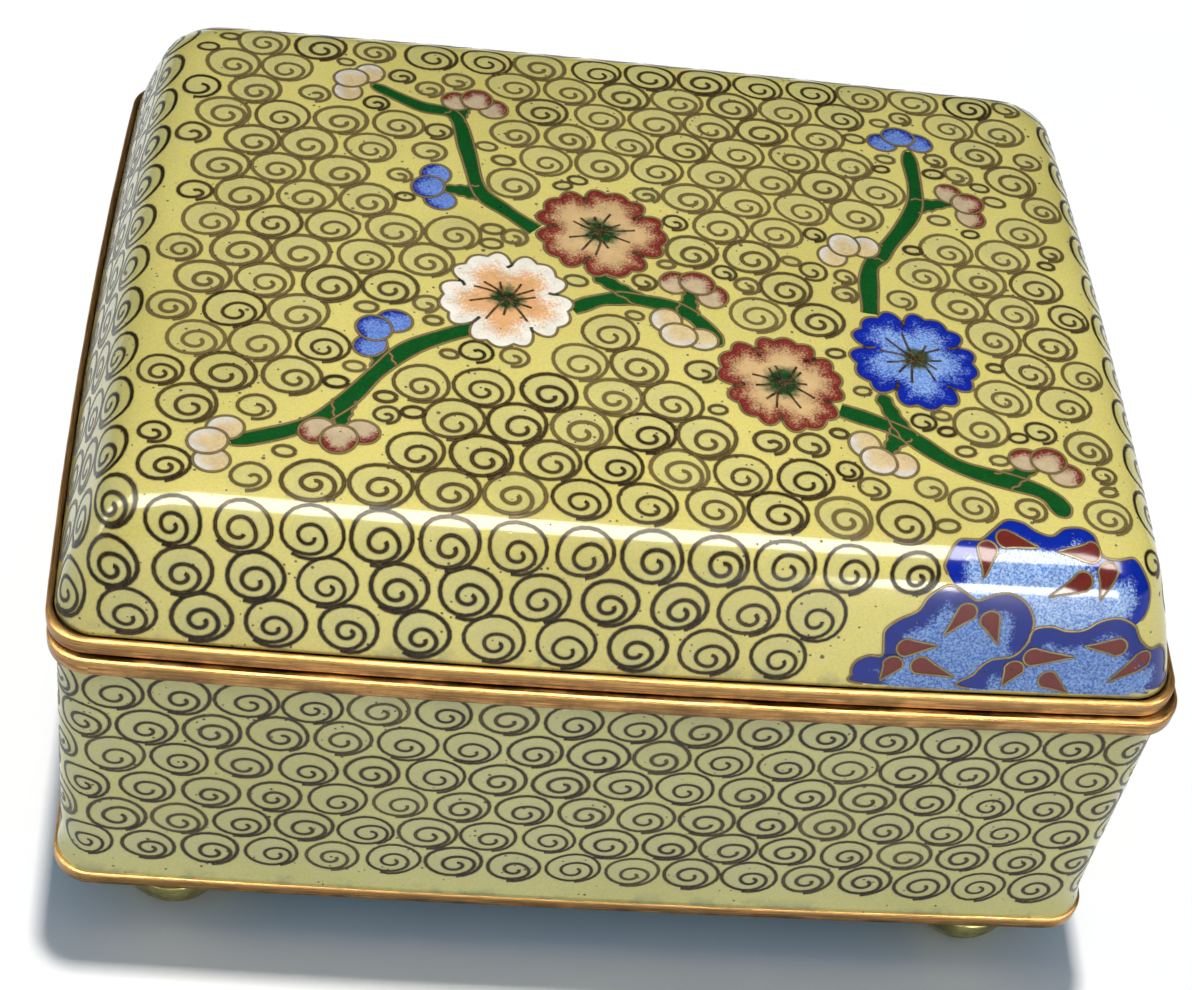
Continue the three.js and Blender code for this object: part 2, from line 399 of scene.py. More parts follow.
class Effects:
    """Shared surface effects, each one a node group that is made once."""

    def __init__(self) -> None:
        """Makes the groups."""
        self.pits = self._pits()
        self.powder = self._powder()
        self.glaze = self._glaze()
        self.streaks = self._streaks()

    @staticmethod
    def _ends(graph: Graph) -> tuple[bpy.types.Node, bpy.types.Node]:
        """Input and output nodes of a group."""
        return graph.tree.nodes.new("NodeGroupInput"), graph.tree.nodes.new("NodeGroupOutput")

    def _pits(self) -> bpy.types.NodeTree:
        """Pinholes left by gas bubbles: a mask of small dots, of varied size and crowding.

        Returns:
            The group.
        """
        inputs = {"Vector": "Vector", "Scale": "Float", "Size": "Float", "Share": "Float"}
        group, graph = new_group("Pinholes", inputs, {"Mask": "Float"})
        start, end = self._ends(graph)
        cells = graph.add("TexVoronoi", {"Vector": start.outputs["Vector"], "Scale": start.outputs["Scale"]})
        pick = graph.add("SeparateColor", {"Color": cells.outputs["Color"]})
        crowd = graph.noise(start.outputs["Vector"], 260.0, 3.0)
        limit = graph.math("MULTIPLY", start.outputs["Share"], graph.step(crowd, 0.35, 0.68))
        chosen = graph.math("LESS_THAN", pick.outputs["Red"], limit)
        spread = graph.math("MULTIPLY_ADD", pick.outputs["Green"], 0.75)
        spread.node.inputs[2].default_value = 0.25
        size = graph.math("MULTIPLY", start.outputs["Size"], spread)
        dot = graph.math("SUBTRACT", 1.0, graph.math("DIVIDE", cells.outputs["Distance"], size), clamp=True)
        soft = graph.step(dot, 0.0, 0.45)
        graph.tree.links.new(graph.math("MULTIPLY", chosen, soft), end.inputs["Mask"])
        return group

    def _powder(self) -> bpy.types.NodeTree:
        """Grain of enamel powder that didn't quite fuse into one colour.

        Returns:
            The group.
        """
        group, graph = new_group("Enamel_powder", {"Vector": "Vector"}, {"Fine": "Float", "Broad": "Float"})
        start, end = self._ends(graph)
        fine = graph.noise(start.outputs["Vector"], 4200.0, 2.0, 0.7)
        broad = graph.noise(start.outputs["Vector"], 700.0, 4.0, 0.6)
        graph.tree.links.new(graph.step(fine, 0.34, 0.66), end.inputs["Fine"])
        graph.tree.links.new(graph.step(broad, 0.3, 0.7), end.inputs["Broad"])
        return group

    def _glaze(self) -> bpy.types.NodeTree:
        """Surface of polished enamel: faint waves and pinholes as a normal.

        Returns:
            The group.
        """
        inputs = {"Vector": "Vector", "Pits": "Float"}
        group, graph = new_group("Polished_glaze", inputs, {"Normal": "Vector"})
        start, end = self._ends(graph)
        wave = graph.noise(start.outputs["Vector"], 240.0, 2.0, 0.4)
        fine = graph.noise(start.outputs["Vector"], 1500.0, 2.0, 0.5)
        height = graph.math("ADD", wave, graph.math("MULTIPLY", fine, 0.05))
        first = graph.add("Bump", {"Strength": 0.5, "Distance": 0.00005, "Height": height})
        dents = {
            "Strength": 0.6, "Distance": 0.00006, "Height": start.outputs["Pits"], "Normal": first.outputs[0]
        }
        second = graph.add("Bump", dents, invert=True)
        graph.tree.links.new(second.outputs[0], end.inputs["Normal"])
        return group

    def _streaks(self) -> bpy.types.NodeTree:
        """Fine lines along a strip, from its UV, and worn patches.

        Returns:
            The group.
        """
        inputs = {"UV": "Vector", "Vector": "Vector"}
        outputs = {"Lines": "Float", "Patches": "Float", "Nicks": "Float"}
        group, graph = new_group("Worn_metal", inputs, outputs)
        start, end = self._ends(graph)
        stretched = graph.add("Mapping", {"Vector": start.outputs["UV"], "Scale": (60.0, 130.0, 1.0)})
        lines = graph.noise(stretched.outputs[0], 1.0, 3.0, 0.6)
        patches = graph.noise(start.outputs["Vector"], 330.0, 4.0, 0.62)
        nicks = graph.noise(start.outputs["Vector"], 1500.0, 3.0, 0.7)
        graph.tree.links.new(graph.step(lines, 0.3, 0.7), end.inputs["Lines"])
        graph.tree.links.new(graph.step(patches, 0.32, 0.68), end.inputs["Patches"])
        graph.tree.links.new(graph.step(nicks, 0.6, 0.74), end.inputs["Nicks"])
        return group


# ---------------------------------------------------------------- finishes


@dataclass(frozen=True)
class GroundFinish:
    """Opaque yellow enamel, cleaner between the scrolls and greyer inside them."""

    clean: tuple = srgb(226, 211, 122)
    inside: tuple = srgb(208, 199, 128)
    aged: tuple = srgb(184, 170, 92)
    # Dull olive of the pepper specks and of the darker band next to the edgings.
    dull_olive: tuple = srgb(150, 150, 108)
    pit: tuple = srgb(44, 34, 22)
    roughness: float = 0.13

    def material(self, name: str, effects: Effects) -> bpy.types.Material:
        """Material of the ground.

        Args:
            name: the material's name.
            effects: the shared surface effects.

        Returns:
            The material.
        """
        material, graph = new_material(name)
        where = graph.where()
        broad = graph.noise(where, 38.0, 3.0)
        middle = graph.noise(where, 300.0, 4.0, 0.6)
        scroll = graph.math("MULTIPLY", graph.held("scroll"), graph.step(middle, 0.2, 0.7, 0.4, 1.0))
        colour = graph.mix(scroll, self.clean, self.inside)
        aged = graph.math("MULTIPLY", graph.step(broad, 0.42, 0.75), 0.42)
        colour = graph.mix(aged, colour, self.aged)
        powder = graph.use(effects.powder, Vector=where)
        shade = graph.math("MULTIPLY_ADD", powder.outputs["Fine"], 0.10)
        shade.node.inputs[2].default_value = 0.94
        tone = graph.math("MULTIPLY_ADD", powder.outputs["Broad"], 0.10)
        tone.node.inputs[2].default_value = 0.95
        grey = graph.add("CombineColor", {0: shade, 1: shade, 2: tone})
        colour = graph.mix(1.0, colour, grey.outputs[0], "MULTIPLY")
        # Darker band next to the edgings, broken up by noise; the edging attribute marks it.
        edge = graph.math("MULTIPLY", graph.held("edging"), graph.step(middle, 0.45, 0.62, 0.0, 0.7))
        colour = graph.mix(edge, colour, self.dull_olive)
        small = graph.use(effects.pits, Vector=where, Scale=1700.0, Size=0.36, Share=0.3)
        large = graph.use(effects.pits, Vector=where, Scale=760.0, Size=0.24, Share=0.24)
        pepper = graph.use(effects.pits, Vector=where, Scale=3300.0, Size=0.32, Share=0.34)
        pits = graph.math("MAXIMUM", small.outputs["Mask"], large.outputs["Mask"])
        colour = graph.mix(graph.math("MULTIPLY", pepper.outputs["Mask"], 0.5), colour, self.dull_olive)
        colour = graph.mix(graph.math("MULTIPLY", pits, 0.85), colour, self.pit)
        rough = graph.math("MULTIPLY_ADD", pits, 0.45)
        rough.node.inputs[2].default_value = self.roughness
        glaze = graph.use(effects.glaze, Vector=where, Pits=pits)
        graph.finish({"Base Color": colour, "Roughness": rough, "Normal": glaze.outputs[0]})
        return material


@dataclass(frozen=True)
class LiningFinish:
    """Plain turquoise counter-enamel inside and below."""

    colour: tuple = srgb(60, 138, 150)
    deep: tuple = srgb(34, 102, 122)
    pit: tuple = srgb(20, 34, 40)
    roughness: float = 0.24

    def material(self, name: str, effects: Effects) -> bpy.types.Material:
        """Material of the lining.

        Args:
            name: the material's name.
            effects: the shared surface effects.

        Returns:
            The material.
        """
        material, graph = new_material(name)
        where = graph.where()
        powder = graph.use(effects.powder, Vector=where)
        share = graph.math("MULTIPLY", powder.outputs["Fine"], powder.outputs["Broad"])
        colour = graph.mix(share, self.colour, self.deep)
        pits = graph.use(effects.pits, Vector=where, Scale=700.0, Size=0.3, Share=0.5).outputs["Mask"]
        colour = graph.mix(graph.math("MULTIPLY", pits, 0.8), colour, self.pit)
        glaze = graph.use(effects.glaze, Vector=where, Pits=pits)
        graph.finish({"Base Color": colour, "Roughness": self.roughness, "Normal": glaze.outputs[0]})
        return material


@dataclass(frozen=True)
class CellFinish:
    """Enamel of one kind of cell: an edge colour that blends into an inner one and a hub."""

    edge: tuple
    inner: tuple
    speck: tuple
    hub: tuple = srgb(24, 74, 36)
    band: float = 1.3 * MM
    blend: float = 0.9 * MM
    ragged: float = 0.8 * MM
    grain: float = 0.3
    hub_size: float = 0.0
    roughness: float = 0.13

    def material(self, name: str, effects: Effects) -> bpy.types.Material:
        """Material of the cell.

        Args:
            name: the material's name.
            effects: the shared surface effects.

        Returns:
            The material.
        """
        material, graph = new_material(name)
        where = graph.where()
        powder = graph.use(effects.powder, Vector=where)
        middle = graph.noise(where, 900.0, 4.0, 0.65)
        shift = graph.math("MULTIPLY", graph.math("SUBTRACT", middle, 0.5), 2 * self.ragged)
        fine = graph.math("MULTIPLY", graph.math("SUBTRACT", powder.outputs["Fine"], 0.5), self.blend)
        edge = graph.math("ADD", graph.math("ADD", graph.held("edge"), shift), fine)
        inner = graph.mix(graph.math("MULTIPLY", powder.outputs["Fine"], self.grain), self.inner, self.speck)
        share = graph.step(edge, self.band - self.blend, self.band + self.blend)
        light = graph.math("MULTIPLY_ADD", powder.outputs["Broad"], 0.16)
        light.node.inputs[2].default_value = 0.9
        grey = graph.add("CombineColor", {0: light, 1: light, 2: light})
        colour = graph.mix(1.0, graph.mix(share, self.edge, inner), grey.outputs[0], "MULTIPLY")
        if self.hub_size:
            hub = graph.math("ADD", graph.held("hub"), graph.math("MULTIPLY", shift, 1.6))
            colour = graph.mix(graph.step(hub, self.hub_size * 1.35, self.hub_size * 0.6), colour, self.hub)
        pits = graph.use(effects.pits, Vector=where, Scale=1500.0, Size=0.3, Share=0.2).outputs["Mask"]
        colour = graph.mix(graph.math("MULTIPLY", pits, 0.7), colour, srgb(30, 24, 20))
        glaze = graph.use(effects.glaze, Vector=where, Pits=pits)
        graph.finish({"Base Color": colour, "Roughness": self.roughness, "Normal": glaze.outputs[0]})
        return material


@dataclass(frozen=True)
class WireFinish:
    """Copper wire between the cells: dark with tarnish, and a brighter line along its crest, partly polished
    copper and partly a painted sheen where the wires catch the light.
    """

    tarnish: tuple = srgb(34, 30, 14)
    brown: tuple = srgb(66, 48, 22)
    faded: tuple = srgb(128, 112, 66)
    crest: tuple = srgb(176, 138, 90)
    shine: float = 0.6
    body: float = 0.5
    fade: float = 0.55

    def material(self, name: str, effects: Effects) -> bpy.types.Material:
        """Material of the wires.

        Args:
            name: the material's name.
            effects: the shared surface effects; not used.

        Returns:
            The material.
        """
        material, graph = new_material(name)
        where = graph.where()
        patch = graph.noise(where, 130.0, 4.0, 0.6)
        fine = graph.noise(where, 1800.0, 3.0, 0.6)
        across = graph.math("ABSOLUTE", graph.held("across"))
        crest = graph.step(across, self.body * 0.62, self.body * 0.15)
        # Bright crest and faded colour: partly polished copper, partly painted sheen, both set by the per-wire
        # polish value.
        worn = graph.math("MULTIPLY", crest, graph.step(patch, 0.36, 0.62, 0.12, 1.0))
        worn = graph.math("MULTIPLY", worn, graph.held("polish_and_sheen"))
        worn = graph.math("MULTIPLY", worn, graph.step(fine, 0.3, 0.6, 0.4, 1.0), clamp=True)
        base = graph.mix(graph.step(fine, 0.35, 0.7), self.tarnish, self.brown)
        base = graph.mix(graph.step(graph.held("polish_and_sheen"), 0.3, 0.9, 0.0, 0.75), base, self.faded)
        colour = graph.mix(graph.math("MULTIPLY", worn, self.shine), base, self.crest)
        metal = graph.math("MULTIPLY", worn, 0.5)
        soft = graph.step(across, 1.0, self.body, 0.0, self.fade)
        alpha = graph.math("MAXIMUM", soft, graph.math("LESS_THAN", across, self.body))
        inputs = {"Base Color": colour, "Metallic": metal, "Roughness": 0.3, "Alpha": alpha}
        inputs["Specular IOR Level"] = 0.25
        graph.finish(inputs)
        return material


@dataclass(frozen=True)
class CopperFinish:
    """Worn copper edging with brown tarnish, and a painted highlight, partly rubbed wear, along its top outer
    edge.
    """

    bright: tuple = srgb(204, 158, 96)
    brown: tuple = srgb(118, 80, 44)
    dark: tuple = srgb(62, 40, 24)
    roughness: float = 0.34

    def material(self, name: str, effects: Effects) -> bpy.types.Material:
        """Material of the edging.

        Args:
            name: the material's name.
            effects: the shared surface effects.

        Returns:
            The material.
        """
        material, graph = new_material(name)
        where = graph.where()
        uv = graph.add("TexCoord").outputs["UV"]
        worn = graph.use(effects.streaks, UV=uv, Vector=where)
        rubbed = graph.step(worn.outputs["Patches"], 0.0, 0.8, 0.35, 1.0)
        # The edge attribute marks each edging's top outer edge: a painted highlight, partly rubbed wear, broken
        # up by the worn patches.
        edge = graph.math("MULTIPLY", graph.held("edge"), rubbed)
        colour = graph.mix(worn.outputs["Lines"], self.brown, self.bright)
        colour = graph.mix(graph.math("MULTIPLY", worn.outputs["Patches"], 0.65), colour, self.dark)
        colour = graph.mix(graph.math("MULTIPLY", worn.outputs["Nicks"], 0.5), colour, self.dark)
        # Painted highlight, partly rubbed wear, along the top outer edge.
        colour = graph.mix(edge, colour, self.bright)
        rough = graph.math("MULTIPLY_ADD", worn.outputs["Lines"], 0.2)
        rough.node.inputs[2].default_value = self.roughness - 0.1
        height = graph.math("ADD", worn.outputs["Lines"], graph.math("MULTIPLY", worn.outputs["Nicks"], -1.5))
        bump = graph.add("Bump", {"Strength": 0.35, "Distance": 0.00003, "Height": height})
        inputs = {"Base Color": colour, "Metallic": 1.0, "Roughness": rough, "Normal": bump.outputs[0]}
        graph.finish(inputs)
        return material


@dataclass(frozen=True)
class BrassFinish:
    """Dull brass, greenish with age."""

    bright: tuple = srgb(196, 186, 116)
    dull: tuple = srgb(120, 116, 66)
    dark: tuple = srgb(62, 58, 36)
    roughness: float = 0.36

    def material(self, name: str, effects: Effects) -> bpy.types.Material:
        """Material of the feet.

        Args:
            name: the material's name.
            effects: the shared surface effects.

        Returns:
            The material.
        """
        material, graph = new_material(name)
        where = graph.where()
        worn = graph.use(effects.streaks, UV=graph.add("TexCoord").outputs["UV"], Vector=where)
        colour = graph.mix(worn.outputs["Patches"], self.bright, self.dull)
        colour = graph.mix(graph.math("MULTIPLY", worn.outputs["Nicks"], 0.7), colour, self.dark)
        bump = graph.add("Bump", {"Strength": 0.3, "Distance": 0.00004, "Height": worn.outputs["Patches"]})
        rough = graph.math("MULTIPLY_ADD", worn.outputs["Patches"], 0.2)
        rough.node.inputs[2].default_value = self.roughness - 0.08
        inputs = {"Base Color": colour, "Metallic": 1.0, "Roughness": rough, "Normal": bump.outputs[0]}
        graph.finish(inputs)
        return material


# ---------------------------------------------------------------- forms


@dataclass(frozen=True)
class LidForm:
    """Outer form of the lid: steep side, soft shoulder, low crown."""

    plan: Plan
    foot_z: float
    crown_z: float
    foot_inset: float = 0.72 * MM
    slope_low: float = math.radians(75.3)
    slope_high: float = math.radians(68.5)
    slope_crown: float = math.radians(4.0)
    side: float = 11.1 * MM
    shoulder_radius: float = 4.9 * MM
    corner_growth: float = 0.17
    bow_end: float = 20 * MM

    @property
    def end(self) -> float:
        """Distance up the surface from the foot to the end of the shoulder."""
        return self.side + self.shoulder_radius * (self.slope_high - self.slope_crown)

    def profile(self, climb: np.ndarray) -> tuple[np.ndarray, np.ndarray, np.ndarray]:
        """Inset, height and slope at distances up the surface.

        Args:
            climb: distances up the surface from the foot.

        Returns:
            Inset, height and slope.
        """
        fine = np.linspace(0, self.end, 2001)
        turned = (fine - self.side) / self.shoulder_radius
        lower = self.slope_low + (self.slope_high - self.slope_low) * fine / self.side
        slope = np.where(fine < self.side, lower, self.slope_high - turned)
        step = fine[1]
        inset = self.foot_inset + np.concatenate([[0], np.cumsum(np.cos(slope[:-1]) * step)])
        z = self.foot_z + np.concatenate([[0], np.cumsum(np.sin(slope[:-1]) * step)])
        return np.interp(climb, fine, inset), np.interp(climb, fine, z), np.interp(climb, fine, slope)

    def bow(self, inset: np.ndarray) -> np.ndarray:
        """Swell of the sides at that inset."""
        return BOW * np.maximum(0, 1 - np.asarray(inset) / self.bow_end)

    def radius(self, inset: np.ndarray) -> np.ndarray:
        """Corner radius at that inset."""
        return CORNER + self.corner_growth * np.asarray(inset)

    def dome(self, x: np.ndarray, y: np.ndarray) -> np.ndarray:
        """Height of the crown over plan places inside the shoulder.

        Args:
            x: places along the length.
            y: places along the depth.

        Returns:
            The heights.
        """
        inset, z, _ = self.profile(np.array(self.end))
        reach_x = self.plan.half_x - inset + self.bow(inset)
        reach_y = self.plan.half_y - inset + self.bow(inset)
        swell = np.maximum(0, 1 - ((x - self.plan.shift) / reach_x) ** 2)
        swell = swell * np.maximum(0, 1 - (y / reach_y) ** 2)
        return z + (self.crown_z - z) * swell

    def skin(self, turn: np.ndarray, climb: np.ndarray, depth: float = 0.0) -> np.ndarray:
        """Points of the side and shoulder, or of a face that deep below them.

        Args:
            turn: turns round the plan.
            climb: distances up the surface.
            depth: distance below the outer face.

        Returns:
            Array whose last axis holds x, y and z.
        """
        inset, z, slope = self.profile(climb)
        deep = inset + depth * np.sin(slope)
        radius = np.maximum(self.radius(inset) - depth / 2, 1 * MM)
        flat = self.plan.place(turn, deep, self.bow(inset), radius)
        drop = np.broadcast_to(z - depth * np.cos(slope), flat.shape[:-1])
        return np.concatenate([flat, drop[..., None]], -1)

    def crown(self, turn: np.ndarray, scale: np.ndarray, depth: float = 0.0) -> np.ndarray:
        """Points of the crown at that scale of the shoulder's end.

        Args:
            turn: turns round the plan.
            scale: 1 at the shoulder, 0 in the middle.
            depth: distance below the outer face.

        Returns:
            Array whose last axis holds x, y and z.
        """
        rim = self.skin(turn, np.array(self.end), depth)
        x = self.plan.shift + (rim[..., 0] - self.plan.shift) * scale
        y = rim[..., 1] * scale
        return np.stack([x, y, self.dome(x, y) - depth], -1)

    def front(self, x: np.ndarray, climb: np.ndarray) -> np.ndarray:
        """Points over the front, x along its edge and round the right corner, and so far up the surface.

        Args:
            x: distance along the front from the middle of the box.
            climb: distance up the surface from the foot.

        Returns:
            Array whose last axis holds x, y and z.
        """
        inset, _, _ = self.profile(np.minimum(climb, self.end))
        radius = self.radius(inset)
        flat = self.plan.half_x - inset - radius
        reach = x - self.plan.shift
        bend = 1 + (reach - flat) / (radius * math.pi / 2)
        turn = np.where(reach <= flat, (reach / flat + 1) / 2, bend)
        point = self.skin(turn, np.minimum(climb, self.end))
        over = np.maximum(climb - self.end, 0)
        point[..., 1] += over
        dome = self.dome(point[..., 0], point[..., 1])
        point[..., 2] = np.where(over > 0, dome, point[..., 2])
        return point


class Ground:
    """Enamelled surface of a finished shell, on which wires and cells are laid."""

    def __init__(self, shape: bmesh.types.BMesh) -> None:
        """Holds the shell's surface."""
        self.tree = BVHTree.FromBMesh(shape)

    def settle(self, point: Vector) -> tuple[Vector, Vector]:
        """Nearest place on the surface and its outward direction."""
        place, normal, _, _ = self.tree.find_nearest(point)
        return place, normal

    def lay(self, centre: Vector, up: Vector, drawing: np.ndarray) -> tuple[np.ndarray, np.ndarray]:
        """Puts a flat drawing on the surface.

        Args:
            centre: where the drawing's middle goes.
            up: the drawing's upward direction.
            drawing: points to the right and up, in metres.

        Returns:
            The points and the outward directions there.
        """
        middle, normal = self.settle(centre)
        rise = (up - normal * up.dot(normal)).normalized()
        right = rise.cross(normal)
        places, normals = [], []
        for across, along in drawing:
            place, outward = self.settle(middle + right * float(across) + rise * float(along))
            places.append(place)
            normals.append(outward)
        return np.array(places), np.array(normals)


# ---------------------------------------------------------------- wires


@dataclass
class Strand:
    """One wire laid on the ground."""

    points: np.ndarray
    normals: np.ndarray
    width: float
    polish_and_sheen: float = 0.5
    lift: float = 0.028 * MM
    taper: float = 0.0


class Wires:
    """A set of wires that becomes one mesh of narrow strips."""

    def __init__(self, name: str) -> None:
        """Starts with no wires."""
        self.name = name
        self.strands: list[Strand] = []

    def build(self, material: bpy.types.Material) -> bpy.types.Object:
        """The mesh: one strip of quads to a wire, cut from one long grid.

        Args:
            material: material of the wires.

        Returns:
            The object.
        """
        blocks, polish_and_sheen, ends = [], [], []
        for strand in self.strands:
            path = strand.points
            run = np.gradient(path, axis=0)
            side = np.cross(strand.normals, run)
            side /= np.maximum(np.linalg.norm(side, axis=1), 1e-12)[:, None]
            share = np.linspace(0, 1, len(path))
            half = strand.width / 2 * (1 - strand.taper * share**2)
            middle = path + strand.normals * strand.lift
            blocks.append(np.stack([middle - side * half[:, None], middle + side * half[:, None]], 1))
            polish_and_sheen.append(np.full((len(path), 2), strand.polish_and_sheen))
            ends.append(len(path))
        points = np.concatenate(blocks)
        last = np.cumsum(ends)
        rows = len(points)
        across = np.tile([-1.0, 1.0], (rows, 1))
        bridges = set((last[:-1] - 1).tolist())
        shape = bmesh.new()
        bmesh.ops.create_grid(shape, x_segments=1, y_segments=rows - 1, size=0.5)
        spare = []
        for face in shape.faces:
            face.smooth = True
            if int((face.calc_center_median().y + 0.5) * (rows - 1)) in bridges:
                spare.append(face)
        layers = {"across": across, "polish_and_sheen": np.concatenate(polish_and_sheen)}
        held = {key: shape.verts.layers.float.new(key) for key in layers}
        for vertex in shape.verts:
            row = round((vertex.co.y + 0.5) * (rows - 1))
            column = int(vertex.co.x > 0)
            vertex.co = points[row, column]
            for key, layer in held.items():
                vertex[layer] = layers[key][row, column]
        bmesh.ops.delete(shape, geom=spare, context="FACES_ONLY")
        piece = link(self.name, shape, [material])
        log.info("%s: %d wires, %d quads", self.name, len(self.strands), rows - len(self.strands))
        return piece


class ScrollKind(Enum):
    """Drawn kinds of scroll."""

    FULL = "full"
    SMALL = "small"
    LOOP = "loop"


@dataclass
class Scroll:
    """One scroll on the ground."""

    centre: Vector
    up: Vector
    radius: float
    kind: ScrollKind = ScrollKind.FULL
    squash: float = 0.93
    polish_and_sheen: float = 0.5

    def drawing(self, chance: random.Random) -> np.ndarray:
        """Points of the wire, from its loose end inwards.

        Args:
            chance: source of its small differences.

        Returns:
            Flat points in metres.
        """
        lean = math.radians(chance.uniform(-16, 16))
        if self.kind is ScrollKind.LOOP:
            angle = np.linspace(0, 2 * math.pi, 25)
            pear = 1 + 0.12 * np.cos(angle - lean * 4)
            points = np.stack([np.cos(angle), 0.72 * np.sin(angle)], -1) * pear[:, None]
        else:
            points = self._coil(chance)
        turn = np.array([[math.cos(lean), -math.sin(lean)], [math.sin(lean), math.cos(lean)]])
        size = np.array([self.radius, self.radius * self.squash])
        return (points @ turn.T) * size

    def _coil(self, chance: random.Random) -> np.ndarray:
        """Unit coil that runs anticlockwise inwards, from below, into a small hook.

        Args:
            chance: source of its small differences.

        Returns:
            Flat points of unit size.
        """
        if self.kind is ScrollKind.FULL:
            count, length = 50, 2.38 + chance.uniform(-0.1, 0.1)
            marks = [0, 0.2, 0.75, 1.0, 1.12, 1.25, 1.5, 1.75, 2.0, 2.25, 2.5]
            radii = [1.04, 1.0, 1.0, 0.94, 0.8, 0.62, 0.48, 0.44, 0.37, 0.2, 0.05]
        else:
            count, length = 30, 1.55 + chance.uniform(-0.05, 0.12)
            marks = [0, 0.3, 0.75, 1.0, 1.25, 1.5, 1.75]
            radii = [1.0, 0.98, 0.9, 0.7, 0.42, 0.3, 0.05]
        swell = chance.uniform(-0.05, 0.05)
        tight = chance.uniform(0.88, 1.12)
        turns = np.linspace(0, length, count)
        reach = np.interp(turns, marks, radii)
        reach = np.convolve(np.pad(reach, 2, mode="edge"), np.array([1, 2, 3, 2, 1]) / 9, "valid")
        inner = smooth(turns, 0.95, 1.4)
        reach = reach * (1 + (tight - 1) * inner)
        waves = [chance.uniform(0, 6.283) for _ in range(2)]
        angle = -math.pi / 2 + chance.uniform(-0.4, 0.25) + 2 * math.pi * turns
        reach = reach * (1 + 0.025 * np.sin(2 * angle + waves[0]) + 0.018 * np.sin(3.3 * angle + waves[1]))
        x = reach * np.cos(angle) + (0.05 + swell) * inner
        y = reach * np.sin(angle) - (0.17 + swell) * inner
        return np.stack([x, y], -1)


class KeepOut:
    """Balls round the picture, where no scroll may go."""

    def __init__(self) -> None:
        """Starts empty."""
        self.balls: list[tuple[float, float, float, float]] = []

    def add(self, points: np.ndarray, radius: float) -> None:
        """Keeps that distance from points."""
        self.balls += [(*map(float, point), radius) for point in points]

    def clearance(self, point: np.ndarray) -> float:
        """Distance from a point to the nearest ball.

        Args:
            point: the place.

        Returns:
            The distance, below zero inside a ball.
        """
        if not self.balls:
            return 1.0
        balls = np.array(self.balls)
        return float((np.linalg.norm(balls[:, :3] - point, axis=1) - balls[:, 3]).min())


class ScrollField:
    """Scrolls that fill one shell's ground."""

    def __init__(self, ground: Ground, keep_out: KeepOut, seed: int) -> None:
        """Starts with no scrolls.

        Args:
            ground: surface that the scrolls lie on.
            keep_out: where none may go.
            seed: seed of their small differences.
        """
        self.ground = ground
        self.keep_out = keep_out
        self.chance = random.Random(seed)
        self.scrolls: list[Scroll] = []

    def offer(self, centre: np.ndarray, up: Vector, radius: float, squash: float, polish_and_sheen: float) -> None:
        """Adds a scroll there, smaller beside the picture, or none where there is no room.

        Args:
            centre: its middle.
            up: its upward direction.
            radius: usual radius.
            squash: height over width.
            polish_and_sheen: how worn its wire is and how much painted sheen it takes, from 0 to 1.
        """
        room = self.keep_out.clearance(centre)
        size = radius * self.chance.uniform(0.93, 1.04)
        if room < size:
            size = room - 0.12 * MM
        if size < 1.25 * MM:
            return
        kind = ScrollKind.FULL if size > 2.05 * MM else ScrollKind.SMALL
        self.scrolls.append(Scroll(Vector(centre), up, size, kind, squash, polish_and_sheen))

    def fill(self, candidates: Sequence[tuple[np.ndarray, Vector]], squash: float, polish_and_sheen: float) -> None:
        """Puts small scrolls and loops in the gaps that are left, the largest gaps first.

        Args:
            candidates: places and upward directions to try.
            squash: height over width.
            polish_and_sheen: how worn the wires are and how much painted sheen they take, from 0 to 1.
        """
        least = 0.85 * MM
        held = np.array([scroll.centre for scroll in self.scrolls])
        sizes = np.array([scroll.radius for scroll in self.scrolls])
        found = []
        for point, up in candidates:
            apart = np.linalg.norm(held - point, axis=1) - sizes
            room = min(self.keep_out.clearance(point), float(apart.min()))
            if room > least:
                found.append((room, tuple(point), up))
        found.sort(key=lambda item: (-item[0], item[1]))
        for room, point, up in found:
            point = np.array(point)
            if len(self.scrolls) > len(held):
                new = self.scrolls[len(held):]
                centres = np.array([scroll.centre for scroll in new])
                radii = np.array([scroll.radius for scroll in new])
                room = min(room, float((np.linalg.norm(centres - point, axis=1) - radii).min()))
            if room < least:
                continue
            size = min(room, 2.4 * MM) * 0.96
            kind = ScrollKind.SMALL if size > 1.2 * MM else ScrollKind.LOOP
            if size > 2.1 * MM:
                kind = ScrollKind.FULL
            self.scrolls.append(Scroll(Vector(point), up, size, kind, squash, polish_and_sheen))

    def lay(self, wires: Wires, width: float) -> None:
        """Adds the scrolls' wires.

        Args:
            wires: set that takes them.
            width: usual width of a strip, of which the middle half is wire.
        """
        for scroll in self.scrolls:
            points, normals = self.ground.lay(scroll.centre, scroll.up, scroll.drawing(self.chance))
            polish_and_sheen = min(1.0, max(0.0, scroll.polish_and_sheen + self.chance.uniform(-0.25, 0.25)))
            size = width * self.chance.uniform(0.88, 1.12)
            wires.strands.append(Strand(points, normals, size, polish_and_sheen))

    def shade(self, points: np.ndarray) -> np.ndarray:
        """How far inside a scroll each point lies, from 0 to 1.

        Args:
            points: array whose last axis holds x, y and z.

        Returns:
            Array of the shares.
        """
        centres = np.array([scroll.centre for scroll in self.scrolls])
        radii = np.array([scroll.radius for scroll in self.scrolls])
        flat = points.reshape(-1, 3)
        best = np.full(len(flat), 9.0)
        for start in range(0, len(flat), 8000):
            block = flat[start:start + 8000]
            apart = np.linalg.norm(block[:, None, :] - centres[None, :, :], axis=2) / radii[None, :]
            best[start:start + 8000] = apart.min(axis=1)
        return (1 - smooth(best, 0.7, 1.12)).reshape(points.shape[:-1])


# ---------------------------------------------------------------- cells


